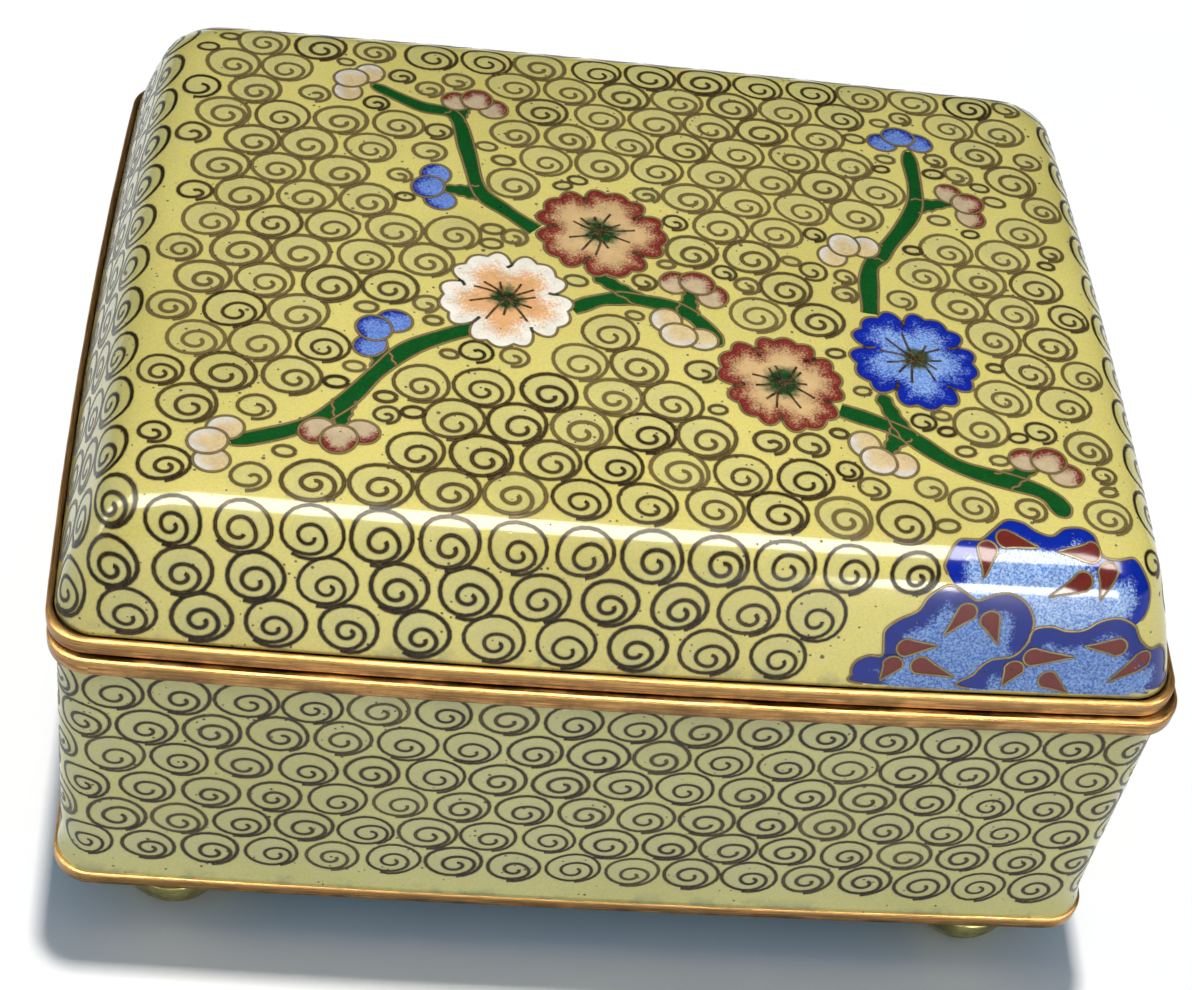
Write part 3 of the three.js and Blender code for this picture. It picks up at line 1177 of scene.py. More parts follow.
class Enamel(Enum):
    """Enamels of the picture, numbered in the order of its materials."""

    RED = 0
    WHITE = 1
    BLUE = 2
    RED_BUD = 3
    WHITE_BUD = 4
    BLUE_BUD = 5
    GREEN = 6
    CLOUD = 7
    DROP = 8
    PALE_CLOUD = 9


@dataclass
class Cell:
    """One enamel cell as a grid of points on the ground, with distances from its border and middle."""

    points: np.ndarray
    edge: np.ndarray
    hub: np.ndarray
    enamel: Enamel


class Cells:
    """Enamel cells that become one mesh."""

    def __init__(self, name: str) -> None:
        """Starts with no cells."""
        self.name = name
        self.cells: list[Cell] = []

    def star(
        self,
        chart: Callable[[np.ndarray, np.ndarray], np.ndarray],
        middle: tuple[float, float],
        border: np.ndarray,
        enamel: Enamel,
        lift: float,
        rings: int = 10,
        dark: np.ndarray | None = None,
    ) -> None:
        """Adds a cell.

        Args:
            chart: gives surface points for flat places.
            middle: flat place that sees the whole border.
            border: closed border as flat places.
            enamel: what fills it.
            lift: height above the ground.
            rings: rings of faces.
            dark: flat places that the edge colour follows, if not the whole border.
        """
        centre = np.array(middle)
        shares = np.linspace(0, 1, rings + 1)
        flat = centre + (border[None, :, :] - centre) * shares[:, None, None]
        follow = border if dark is None else dark
        edge = np.linalg.norm(flat[:, :, None, :] - follow[None, None, :, :], axis=3).min(axis=2)
        hub = np.linalg.norm(flat - centre, axis=2)
        points = chart(flat[..., 0], flat[..., 1])
        points = points + RISE * lift
        self.cells.append(Cell(points, edge, hub, enamel))

    def build(self, materials: Sequence[bpy.types.Material]) -> bpy.types.Object:
        """The mesh of all cells.

        Args:
            materials: materials in the enamels' order.

        Returns:
            The object.
        """
        whole = bmesh.new()
        for cell in self.cells:
            parts = np.full(len(cell.points) - 1, cell.enamel.value)
            shape = weave(cell.points, {"edge": cell.edge, "hub": cell.hub}, parts)
            upward = sum(face.normal.z + RISE[1] * face.normal.y for face in shape.faces)
            if upward < 0:
                bmesh.ops.reverse_faces(shape, faces=shape.faces)
            mesh = bpy.data.meshes.new("cell")
            shape.to_mesh(mesh)
            shape.free()
            whole.from_mesh(mesh)
            bpy.data.meshes.remove(mesh)
        piece = link(self.name, whole, materials)
        log.info("%s: %d cells, %d faces", self.name, len(self.cells), len(piece.data.polygons))
        return piece


def curve_through(keys: Sequence[tuple[float, float]], steps: int, closed: bool = False) -> np.ndarray:
    """Smooth flat curve through key places (Catmull-Rom).

    Args:
        keys: the key places.
        steps: points between two keys.
        closed: whether it runs back to its start.

    Returns:
        The points.
    """
    keys = np.array(keys, float)
    if closed:
        keys = np.concatenate([keys[-1:], keys, keys[:2]])
    else:
        keys = np.concatenate([2 * keys[:1] - keys[1:2], keys, 2 * keys[-1:] - keys[-2:-1]])
    points = []
    share = np.linspace(0, 1, steps, endpoint=False)[:, None]
    for index in range(1, len(keys) - 2):
        before, start, end, after = keys[index - 1:index + 3]
        points.append(
            0.5 * (2 * start + (end - before) * share
                   + (2 * before - 5 * start + 4 * end - after) * share**2
                   + (3 * start - before - 3 * end + after) * share**3)
        )
    points = np.concatenate(points)
    return np.concatenate([points, points[:1] if closed else keys[-2:-1]])


# ---------------------------------------------------------------- the picture


@dataclass(frozen=True)
class Petals:
    """Border of a five-petalled blossom."""

    radius: float
    turned: float
    notch: float = 0.17
    scallop: float = 0.085
    seed: int = 1

    def border(self) -> np.ndarray:
        """Closed border round the origin.

        Returns:
            Flat points, the first repeated at the end.
        """
        chance = random.Random(self.seed)
        sizes = [chance.uniform(0.94, 1.06) for _ in range(5)]
        angle = np.linspace(0, 2 * math.pi, 181)
        place = np.mod(angle / (2 * math.pi) * 5, 5)
        petal = np.minimum(place.astype(int), 4)
        across = 2 * (place - petal) - 1
        waves = np.abs(np.cos(1.5 * math.pi * across)) - 0.5
        reach = 1 - self.notch * np.abs(across) ** 6 + self.scallop * waves
        size = np.array(sizes)[petal]
        size = size + (1 - size) * np.abs(across) ** 3
        reach = self.radius * reach * size
        direction = angle + self.turned
        return np.stack([reach * np.cos(direction), reach * np.sin(direction)], -1)


@dataclass
class Picture:
    """Flowering branches over the crown and a cloud on the front right corner."""

    form: LidForm
    ground: Ground
    wire_width: float = 0.44 * MM
    cluster: tuple = ((-2.0, -0.55, 1.6), (2.05, -0.75, 1.65), (0.1, 0.35, 1.75))
    blossom_lift: float = 0.045 * MM
    stamens: int = 11
    cells: Cells = field(init=False)
    wires: Wires = field(init=False)
    keep_out: KeepOut = field(init=False)
    chance: random.Random = field(init=False)

    def __post_init__(self) -> None:
        """Starts an empty picture."""
        self.cells = Cells("lid_picture_enamel")
        self.wires = Wires("lid_picture_wires")
        self.keep_out = KeepOut()
        self.chance = random.Random(11)

    def over(self, x: np.ndarray, y: np.ndarray) -> np.ndarray:
        """Surface points of the crown over plan places."""
        return np.stack([x, y, self.form.dome(x, y)], -1)

    def wire(
        self,
        path: np.ndarray,
        lift: float,
        chart: Callable[[np.ndarray, np.ndarray], np.ndarray] | None = None,
        polish_and_sheen: float = 0.8,
        width: float = 1.0,
        taper: float = 0.0,
    ) -> None:
        """Lays a wire along a flat path.

        Args:
            path: flat places.
            lift: height above the ground.
            chart: gives surface points for flat places.
            polish_and_sheen: how worn it is and how much painted sheen it takes, from 0 to 1.
            width: share of the usual width.
            taper: share of the width lost towards its end.
        """
        points = (chart or self.over)(path[:, 0], path[:, 1])
        normals = np.array([self.ground.settle(Vector(point))[1] for point in points])
        self.wires.strands.append(Strand(points, normals, self.wire_width * width, polish_and_sheen, lift, taper))

    def blossom(self, x: float, y: float, radius: float, turned: float, enamel: Enamel, seed: int) -> None:
        """Adds a blossom with its stamens.

        Args:
            x: middle along the length in millimetres.
            y: middle along the depth.
            radius: radius in millimetres.
            turned: direction of a notch in degrees.
            enamel: what fills it.
            seed: seed of its small differences.
        """
        chance = random.Random(seed)
        middle = np.array([x, y]) * MM
        petals = Petals(radius * MM, math.radians(turned), seed=seed)
        border = middle + petals.border()
        self.cells.star(self.over, tuple(middle), border, enamel, self.blossom_lift, rings=14)
        self.wire(border, 0.055 * MM)
        for petal in range(5):
            angle = math.radians(turned) + petal * 2 * math.pi / 5
            out = np.array([math.cos(angle), math.sin(angle)])
            side = np.array([-math.sin(angle), math.cos(angle)])
            reach = radius * MM * chance.uniform(0.62, 0.72)
            bend = chance.uniform(-0.5, 0.5) * MM
            notch = radius * MM * 0.84
            keys = [out * notch, out * (reach + notch) / 2, out * reach + side * bend]
            self.wire(middle + curve_through(keys, 5), 0.058 * MM, width=1.2, polish_and_sheen=0.2)
        for stamen in range(self.stamens):
            angle = (stamen + chance.uniform(-0.3, 0.3)) / self.stamens * 2 * math.pi
            out = np.array([math.cos(angle), math.sin(angle)])
            side = np.array([-math.sin(angle), math.cos(angle)]) * chance.uniform(-0.25, 0.25) * MM
            reach = radius * MM * chance.uniform(0.34, 0.6)
            keys = [out * 0.12 * MM, out * reach * 0.5 + side, out * reach]
            self.wire(middle + curve_through(keys, 4), 0.058 * MM, width=0.85, polish_and_sheen=0.2)
        self.keep_out.add(self.over(middle[:1], middle[1:]), (radius + 0.2) * MM)

    def bud(self, x: float, y: float, turned: float, enamel: Enamel) -> None:
        """Adds a cluster of three overlapping round buds, dark on their outer side.

        Args:
            x: middle along the length in millimetres.
            y: middle along the depth.
            turned: turn of the cluster in degrees.
            enamel: what fills it.
        """
        angle = math.radians(turned)
        turn = np.array([[math.cos(angle), -math.sin(angle)], [math.sin(angle), math.cos(angle)]])
        for index, (across, along, size) in enumerate(self.cluster):
            middle = (np.array([x, y]) + turn @ np.array([across, along])) * MM
            around = np.linspace(0, 2 * math.pi, 41)
            reach = size * MM * (1 + 0.05 * np.cos(2 * around + self.chance.uniform(0, 6)))
            border = middle + np.stack([np.cos(around), 0.94 * np.sin(around)], -1) * reach[:, None]
            lift = (0.05 + 0.03 * index) * MM
            outer = border[np.cos(around - angle - math.radians(80)) > 0.1]
            self.cells.star(self.over, tuple(middle), border, enamel, lift, rings=6, dark=outer)
            self.wire(border, lift + 0.012 * MM)
            self.keep_out.add(self.over(middle[:1], middle[1:]), (size + 0.2) * MM)

    def branch(
        self, keys: Sequence[tuple[float, float]], widths: tuple[float, float], lift: float = 0.024
    ) -> None:
        """Adds a green branch that narrows along its keys, with a wire down each side.

        Args:
            keys: places in millimetres.
            widths: width at its start and end in millimetres.
            lift: height above the ground in millimetres.
        """
        path = curve_through(np.array(keys) * MM, 10)
        run = np.gradient(path, axis=0)
        side = np.stack([-run[:, 1], run[:, 0]], -1)
        side /= np.linalg.norm(side, axis=1)[:, None]
        share = np.linspace(0, 1, len(path))
        half = (widths[0] + (widths[1] - widths[0]) * share) / 2 * MM
        half = half * (1 + 0.1 * np.sin(share * 23 + keys[0][0]))
        half[-2:] *= (0.85, 0.5)
        left, right = path + side * half[:, None], path - side * half[:, None]
        rows = np.stack([left, path, right])
        points = self.over(rows[..., 0], rows[..., 1]) + np.array([0, 0, lift * MM])
        flat = np.zeros(rows.shape[:2])
        self.cells.cells.append(Cell(points, flat, flat + 1, Enamel.GREEN))
        for rail in (left, right):
            self.wire(rail, (lift + 0.008) * MM, polish_and_sheen=0.9)
        self.wire(np.stack([left[-1], path[-1] + run[-1] * 0.4, right[-1]]), (lift + 0.008) * MM)
        self.keep_out.add(self.over(path[:, 0], path[:, 1]), (max(widths) / 2 + 0.15) * MM)

    def twig(self, start: tuple[float, float], end: tuple[float, float]) -> None:
        """Adds a short tapered twig from a branch to its buds."""
        middle = ((start[0] + end[0]) / 2, (start[1] + end[1]) / 2)
        self.branch([start, middle, end], (2.3, 0.9), 0.018)

    def lobe(
        self,
        keys: Sequence[tuple[float, float]],
        middle: tuple[float, float],
        seen: int,
        lift: float,
        enamel: Enamel,
    ) -> None:
        """Adds one lobe of the cloud, its dark border along the first keys.

        Args:
            keys: border in millimetres along the front and up the surface.
            middle: place inside it.
            seen: how many of the keys the dark border and the wire follow.
            lift: height above the ground in millimetres.
            enamel: what fills it.
        """
        border = curve_through(np.array(keys) * MM, 8, closed=True)
        dark = border[:(seen - 1) * 8 + 1]
        inside = np.array(middle) * MM
        self.cells.star(self.form.front, tuple(inside), border, enamel, lift * MM, rings=22, dark=dark)
        self.wire(dark, (lift + 0.008) * MM, self.form.front, polish_and_sheen=0.9)
        filled = [inside + (border[::6] - inside) * share for share in (0.25, 0.5, 0.75, 1.0)]
        for ring in filled:
            self.keep_out.add(self.form.front(ring[:, 0], ring[:, 1]), 0.35 * MM)

    def drop(self, head: tuple[float, float], tail: tuple[float, float], width: float = 1.95) -> None:
        """Adds a red drop with a round head and a drawn-out tail on the cloud.

        Args:
            head: middle of the head in millimetres, along the front and up the surface.
            tail: tip of the tail.
            width: width of the head.
        """
        start, end = np.array(head) * MM, np.array(tail) * MM
        length = float(np.linalg.norm(end - start))
        run = (end - start) / length
        side = np.array([-run[1], run[0]])
        half = width / 2 * MM
        bend = 0.34 * MM * (1 if self.chance.random() > 0.5 else -1)
        head_angle = np.linspace(math.pi, math.pi / 2, 8)
        tail_share = np.linspace(0, 1, 12)[1:]
        along = np.concatenate([half * np.cos(head_angle), length * tail_share])
        narrowing = (1 - tail_share) ** 0.85 * (1 - 0.25 * tail_share)
        wide = np.concatenate([half * np.sin(head_angle), half * narrowing])
        axis = start + along[:, None] * run + (bend * smooth(along / length, 0.0, 1.0))[:, None] * side
        rows = np.stack([axis + side * wide[:, None], axis, axis - side * wide[:, None]])
        points = self.form.front(rows[..., 0], rows[..., 1]) + RISE * 0.078 * MM
        flat = np.zeros(rows.shape[:2])
        self.cells.cells.append(Cell(points, flat, flat + 1, Enamel.DROP))
        border = np.concatenate([rows[0], rows[2][::-1][1:]])
        self.wire(border, 0.086 * MM, self.form.front, polish_and_sheen=0.9, width=0.85)

    def compose(self) -> None:
        """Lays out the whole picture."""
        self.branch([(-10.5, 3.5), (-13.5, 6.2), (-16.1, 9.0), (-17.4, 15.3), (-18.8, 21.2), (-22.5, 22.4),
                     (-27.5, 25.4)], (1.7, 1.5))
        self.branch([(-13.4, -9.0), (-16.0, -10.8), (-22.1, -14.1), (-25.3, -17.5), (-28.4, -21.9),
                     (-32.3, -25.3), (-38.3, -27.7)], (2.0, 1.5))
        self.branch([(-7.0, -7.6), (-4.0, -6.0), (-0.3, -5.6), (4.6, -7.1), (7.4, -11.0)], (1.6, 1.8))
        self.branch([(-0.3, -5.6), (-2.6, -4.0), (-4.6, -2.6)], (1.7, 1.5), 0.027)
        self.branch([(23.1, -4.6), (23.8, 2.0), (25.8, 5.3), (30.0, 13.1), (30.5, 22.3)], (1.9, 1.6))
        self.branch([(18.6, -18.3), (24.2, -20.4), (29.6, -24.3), (37.1, -26.6), (39.4, -29.4)], (1.7, 2.0))
        self.branch([(25.2, -21.2), (23.9, -18.6), (22.9, -15.8)], (1.7, 1.5), 0.027)
        for start, end in (
            ((-18.8, 20.8), (-17.4, 23.2)), ((-16.3, 8.6), (-20.0, 9.0)), ((-25.0, -17.0), (-25.6, -13.4)),
            ((-28.4, -21.6), (-28.6, -25.2)), ((4.4, -7.0), (4.9, -3.6)), ((25.6, 4.8), (22.4, 5.0)),
            ((30.0, 13.0), (34.2, 14.2)), ((33.6, -25.8), (37.4, -23.4)), ((24.4, -20.6), (22.6, -23.4)),
        ):
            self.twig(start, end)
        self.blossom(-3.9, 4.0, 6.5, 34, Enamel.RED, 3)
        self.blossom(-13.4, -6.8, 6.2, 12, Enamel.WHITE, 5)
        self.blossom(13.3, -15.3, 6.05, 47, Enamel.RED, 8)
        self.blossom(27.0, -10.4, 6.4, 25, Enamel.BLUE, 13)
        for x, y, turned, enamel in (
            (-29.6, 26.0, 60, Enamel.WHITE_BUD), (-16.6, 23.9, 350, Enamel.RED_BUD),
            (-21.0, 8.9, 100, Enamel.BLUE_BUD),
            (-25.8, -12.4, 60, Enamel.BLUE_BUD), (-28.6, -26.2, 185, Enamel.RED_BUD),
            (-40.0, -27.9, 80, Enamel.WHITE_BUD), (5.4, -2.9, 340, Enamel.RED_BUD),
            (3.6, -9.9, 150, Enamel.WHITE_BUD), (29.6, 24.3, 10, Enamel.BLUE_BUD),
            (35.6, 14.2, 300, Enamel.RED_BUD), (21.5, 5.0, 30, Enamel.WHITE_BUD),
            (22.0, -24.2, 150, Enamel.WHITE_BUD), (38.4, -22.9, 340, Enamel.RED_BUD),
        ):
            self.bud(x, y, turned, enamel)
        self._cloud()

    def _cloud(self) -> None:
        """Adds the cloud: an upper lobe, a left one over it and a right one over both."""
        upper = [(27.4, 12.6), (27.2, 14.0), (28.4, 15.8), (30.4, 16.0), (31.6, 17.0), (33.2, 18.4),
                 (34.8, 18.2),
                 (36.0, 17.2), (37.4, 16.8), (38.8, 17.8), (40.4, 17.8), (41.6, 16.6), (42.0, 15.0),
                 (43.6, 14.4), (45.6, 14.0), (46.8, 12.6), (47.6, 10.6), (46.8, 8.6),
                 (43.0, 7.0), (37.0, 7.0), (31.0, 9.0)]
        self.lobe(upper, (37.5, 12.0), 18, 0.036, Enamel.PALE_CLOUD)
        left = [(21.5, 0.5), (20.2, 1.6), (20.3, 2.9), (21.4, 3.7), (22.7, 3.8), (22.6, 5.2), (22.5, 6.6),
                (23.6, 7.8), (25.2, 8.8), (26.0, 10.4), (27.6, 11.6), (29.2, 11.0), (30.6, 10.2),
                (32.2, 10.9), (33.8, 11.0), (35.4, 10.0), (36.4, 8.2), (36.4, 6.0),
                (37.2, 4.0), (35.5, 0.5)]
        self.lobe(left, (29.0, 4.5), 18, 0.050, Enamel.CLOUD)
        right = [(31.8, 0.5), (31.9, 2.2), (33.1, 3.8), (35.2, 4.4), (36.2, 5.8), (36.6, 7.4), (38.2, 7.8),
                 (39.8, 7.4), (41.4, 7.6), (42.8, 8.6), (44.6, 9.0), (46.2, 8.2), (47.2, 6.6),
                 (48.6, 5.4), (50.2, 5.0), (51.4, 3.6), (51.6, 2.0), (51.0, 0.5)]
        self.lobe(right, (41.5, 3.6), 18, 0.064, Enamel.CLOUD)
        for head, tail in (
            ((31.0, 14.9), (30.4, 12.5)), ((32.9, 16.2), (36.0, 15.8)), ((40.9, 15.2), (37.8, 14.8)),
            ((40.2, 12.5), (37.4, 10.6)), ((42.6, 13.4), (42.6, 10.8)), ((29.8, 8.9), (27.8, 6.6)),
            ((32.2, 8.2), (33.8, 5.8)), ((24.9, 4.8), (27.8, 4.8)), ((23.9, 2.8), (23.4, 0.9)),
            ((26.6, 2.9), (29.9, 1.4)), ((37.2, 4.4), (41.2, 4.2)), ((35.6, 2.9), (35.2, 0.9)),
            ((39.2, 1.9), (41.6, 0.8)), ((45.0, 5.9), (41.9, 6.2)), ((47.8, 4.4), (45.2, 1.6)),
        ):
            self.drop(head, tail)


# ---------------------------------------------------------------- pieces of the box


@dataclass
class Lid:
    """Enamelled lid with its picture, scrolls and edging."""

    effects: Effects
    column: float = 0.62 * MM
    row: float = 0.4 * MM
    wire_width: float = 0.62 * MM
    dark_band_height: float = 2.2 * MM
    slope_rows: tuple = (3.0 * MM, 7.7 * MM, 12.5 * MM)
    slope_level: float = 4 * MM
    slope_pitch: float = 6.2 * MM
    slope_scroll: float = 2.7 * MM
    crown_rows: int = 16
    crown_columns: int = 15
    crown_pitch: float = 6.0 * MM
    crown_scroll: float = 2.78 * MM
    spots: int = 5200
    plan: Plan = field(init=False)
    form: LidForm = field(init=False)
    rim_low: float = field(init=False)
    rim_high: float = field(init=False)

    def __post_init__(self) -> None:
        """Takes the lid's size from the frame."""
        low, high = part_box("lid_rim")
        foot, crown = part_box("lid_shell")
        self.plan = Plan((high.x - low.x) / 2 - BOW, (high.y - low.y) / 2 - BOW, (high.x + low.x) / 2)
        self.form = LidForm(self.plan, foot.z, crown.z)
        self.rim_low, self.rim_high = low.z, high.z

    def _rows(self, turns: np.ndarray) -> tuple[np.ndarray, np.ndarray]:
        """Points of the closed shell from its inner crown to its outer one, and each strip's material.

        Args:
            turns: the columns.

        Returns:
            The points and the material numbers.
        """
        form = self.form
        inner_climb = np.linspace(form.end, 0, 22)
        outer_climb = np.linspace(0, form.end, round(form.end / self.row) + 1)
        inner_scale = np.linspace(0, 1, 14)[:-1]
        outer_scale = np.linspace(1, 0, 56)[1:]
        rows = [form.crown(turns, scale, WALL) for scale in inner_scale]
        rows += [form.skin(turns, climb, WALL) for climb in inner_climb]
        lining = len(rows)
        rows += [form.skin(turns, climb) for climb in outer_climb]
        rows += [form.crown(turns, scale) for scale in outer_scale]
        rows[lining - 1][..., 2] = form.foot_z
        parts = np.zeros(len(rows) - 1, int)
        parts[:lining] = 1
        return np.stack(rows), parts

    def build(self) -> list[bpy.types.Object]:
        """The shell, its wires and picture, and the edging.

        Returns:
            The pieces.
        """
        turns = self.plan.columns(self.column, BEND_STEPS)
        points, parts = self._rows(turns)
        bare = weave(points)
        ground = Ground(bare)
        bare.free()
        picture = Picture(self.form, ground)
        picture.compose()
        scroll_field = ScrollField(ground, picture.keep_out, 21)
        self._lay_out(scroll_field)
        wires = Wires("lid_scroll_wires")
        scroll_field.lay(wires, self.wire_width)
        low = self.form.foot_z
        # Darker band just above the lid's foot, beside the edging.
        edging = 1 - smooth(points[..., 2] - low, 0.0, self.dark_band_height)
        scroll = scroll_field.shade(points)
        ground_material = GroundFinish().material("Yellow_enamel_lid", self.effects)
        lining = LiningFinish().material("Counter_enamel_lid", self.effects)
        shape = weave(points, {"scroll": scroll, "edging": edging}, parts)
        shell = link("lid_enamel_shell", shape, [ground_material, lining])
        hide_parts("lid_shell")
        cells = picture.cells.build(self._cell_materials())
        wire = WireFinish().material("Cloison_wire_lid", self.effects)
        motif_wire = WireFinish(brown=srgb(104, 80, 52), crest=srgb(206, 172, 126), shine=0.7)
        pieces = [
            shell,
            cells,
            wires.build(wire),
            picture.wires.build(motif_wire.material("Cloison_wire_picture", self.effects)),
        ]
        for piece, slot in zip(pieces, (YELLOW_SLOT, YELLOW_SLOT, COPPER_SLOT, COPPER_SLOT)):
            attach(piece, "root")
        return pieces + [self._edging()]

    def _cell_materials(self) -> list[bpy.types.Material]:
        """Materials of the picture, in the order of the picture's numbers.

        Returns:
            The materials.
        """
        finishes = {
            "Petal_red": CellFinish(
                srgb(128, 44, 40), srgb(220, 186, 132), srgb(196, 146, 110), hub_size=1.9 * MM),
            "Petal_white": CellFinish(
                srgb(246, 240, 226), srgb(232, 180, 122), srgb(226, 150, 118), band=1.5 * MM,
                hub_size=1.6 * MM),
            "Petal_blue": CellFinish(
                srgb(20, 40, 160), srgb(96, 140, 216), srgb(170, 196, 236), band=1.7 * MM, grain=0.7,
                hub_size=1.5 * MM, hub=srgb(58, 78, 40)),
            "Bud_red": CellFinish(srgb(124, 42, 40), srgb(206, 186, 150), srgb(190, 140, 112), band=0.75 * MM,
                                  blend=0.5 * MM, ragged=0.4 * MM),
            "Bud_white": CellFinish(srgb(222, 216, 206), srgb(216, 186, 128), srgb(240, 232, 214), band=0.7 * MM,
                                    blend=0.6 * MM, ragged=0.4 * MM),
            "Bud_blue": CellFinish(srgb(26, 44, 156), srgb(86, 122, 206), srgb(150, 176, 226), band=0.6 * MM,
                                   blend=0.5 * MM, ragged=0.4 * MM, grain=0.6),
            "Branch_green": CellFinish(srgb(14, 78, 32), srgb(14, 78, 32), srgb(40, 110, 40), band=-9.0),
            "Cloud_blue": CellFinish(srgb(14, 38, 132), srgb(58, 98, 176), srgb(146, 178, 222), band=2.0 * MM,
                                     blend=0.5 * MM, ragged=0.8 * MM, grain=0.85),
            "Drop_red": CellFinish(srgb(112, 42, 36), srgb(118, 44, 36), srgb(88, 34, 34), band=-9.0),
            "Cloud_pale": CellFinish(srgb(14, 42, 158), srgb(84, 130, 208), srgb(190, 212, 240), band=1.8 * MM,
                                     blend=0.5 * MM, ragged=0.8 * MM, grain=0.95),
        }
        return [finish.material(name, self.effects) for name, finish in finishes.items()]

    def _lay_out(self, scroll_field: ScrollField) -> None:
        """Rows of scrolls round the side and shoulder, then over the crown.

        Args:
            scroll_field: takes the scrolls.
        """
        form, plan = self.form, self.plan
        count = round(plan.girth(self.slope_level, CORNER) / self.slope_pitch)
        for row, climb in enumerate(self.slope_rows):
            inset = float(form.profile(np.array(climb))[0])
            radius = float(form.radius(inset))
            for turn in plan.spaced(count, 0.25 + 0.5 * (row % 2), inset, radius):
                here = form.skin(np.array(turn), np.array(climb))
                above = form.skin(np.array(turn), np.array(climb + 0.4 * MM))
                scroll_field.offer(here, Vector(above - here).normalized(), self.slope_scroll, 0.95, 0.12)
        inset = float(form.profile(np.array(form.end))[0])
        rows = self.crown_rows
        reach = plan.half_y - inset - 0.6 * MM
        for row in range(rows):
            y = -reach + 2 * reach * row / (rows - 1)
            count = self.crown_columns - row % 2
            for column in range(count):
                nudge = scroll_field.chance.uniform(-0.25, 0.25) * MM
                x = plan.shift + (column - (count - 1) / 2) * self.crown_pitch + nudge
                here = np.array([x, y, float(form.dome(np.array(x), np.array(y)))])
                # Painted sheen, partly real polish: the crown's wires brighten in a band a little behind its
                # middle, where they catch the light.
                polish_and_sheen = 0.6 + 0.35 * math.exp(-((y - 12 * MM) / (14 * MM)) ** 2)
                scroll_field.offer(here, Vector((0, 1, 0)), self.crown_scroll, 0.87, polish_and_sheen)
        spots = []
        for _ in range(self.spots):
            x = scroll_field.chance.uniform(-1, 1) * (plan.half_x - inset)
            y = scroll_field.chance.uniform(-1, 1) * (plan.half_y - inset)
            point = np.array([x + plan.shift, y, float(form.dome(np.array(x + plan.shift), np.array(y)))])
            spots.append((point, Vector((0, 1, 0))))
        scroll_field.fill(spots, 0.88, 0.6)

    def _edging(self) -> bpy.types.Object:
        """The copper edging round the lid's foot.

        Returns:
            The edging.
        """
        low, high = self.rim_low, self.rim_high
        ease = 0.34 * MM
        section = rounded([
            (0.0, low, 0.62 * MM), (0.0, high, ease), (0.62 * MM, high, 0.1 * MM),
            (0.62 * MM, high - 0.35 * MM, 0.0), (1.8 * MM, high - 0.35 * MM, 0.0), (1.8 * MM, low, 0.2 * MM),
        ])
        edging = Edging("lid_edging", self.plan, BOW, section, self.rim_low, self.rim_high)
        return edging.build("lid_rim", self.effects)


@dataclass
class Edging:
    """Copper strip folded round an edge of the box."""

    name: str
    plan: Plan
    bow: float
    section: np.ndarray
    low: float
    high: float
    column: float = 0.9 * MM
    wobble: float = 0.05 * MM

    def build(self, node: str, effects: Effects) -> bpy.types.Object:
        """The edging, which stands for that CAD node.

        Args:
            node: name of the CAD node.
            effects: the shared surface effects.

        Returns:
            The object.
        """
        turns = self.plan.columns(self.column, BEND_STEPS)
        inset = self.section[:, 0][:, None]
        flat = self.plan.place(turns[None, :], inset, np.array(self.bow), np.array(CORNER))
        z = np.broadcast_to(self.section[:, 1][:, None], flat.shape[:2])
        points = np.concatenate([flat, z[..., None]], -1)
        outer = inset < 0.5 * MM
        for row, column in zip(*np.nonzero(np.broadcast_to(outer, flat.shape[:2]))):
            place = Vector(points[row, column]) * 260
            points[row, column, 2] += noise.noise(place) * self.wobble * 0.6
            points[row, column, :2] *= 1 + noise.noise(place + Vector((7, 3, 1))) * self.wobble * 12
        points[:, -1] = points[:, 0]
        points[-1] = points[0]
        # Painted highlight, partly rubbed wear: marks the top outer edge, which the copper finish paints
        # brighter.
        top_highlight_band = smooth(points[..., 2], self.high - 0.5 * MM, self.high - 0.12 * MM)
        edge = top_highlight_band * np.broadcast_to(inset < 0.35 * MM, flat.shape[:2])
        shape = weave(points, {"edge": edge})
        if shape.calc_volume(signed=True) < 0:
            bmesh.ops.reverse_faces(shape, faces=shape.faces)
        piece = link(self.name, shape, [CopperFinish().material(f"Copper_{self.name}", effects)])
        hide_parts(node)
        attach(piece, "root")
        log.info("%s: %d faces", self.name, len(piece.data.polygons))
        return piece


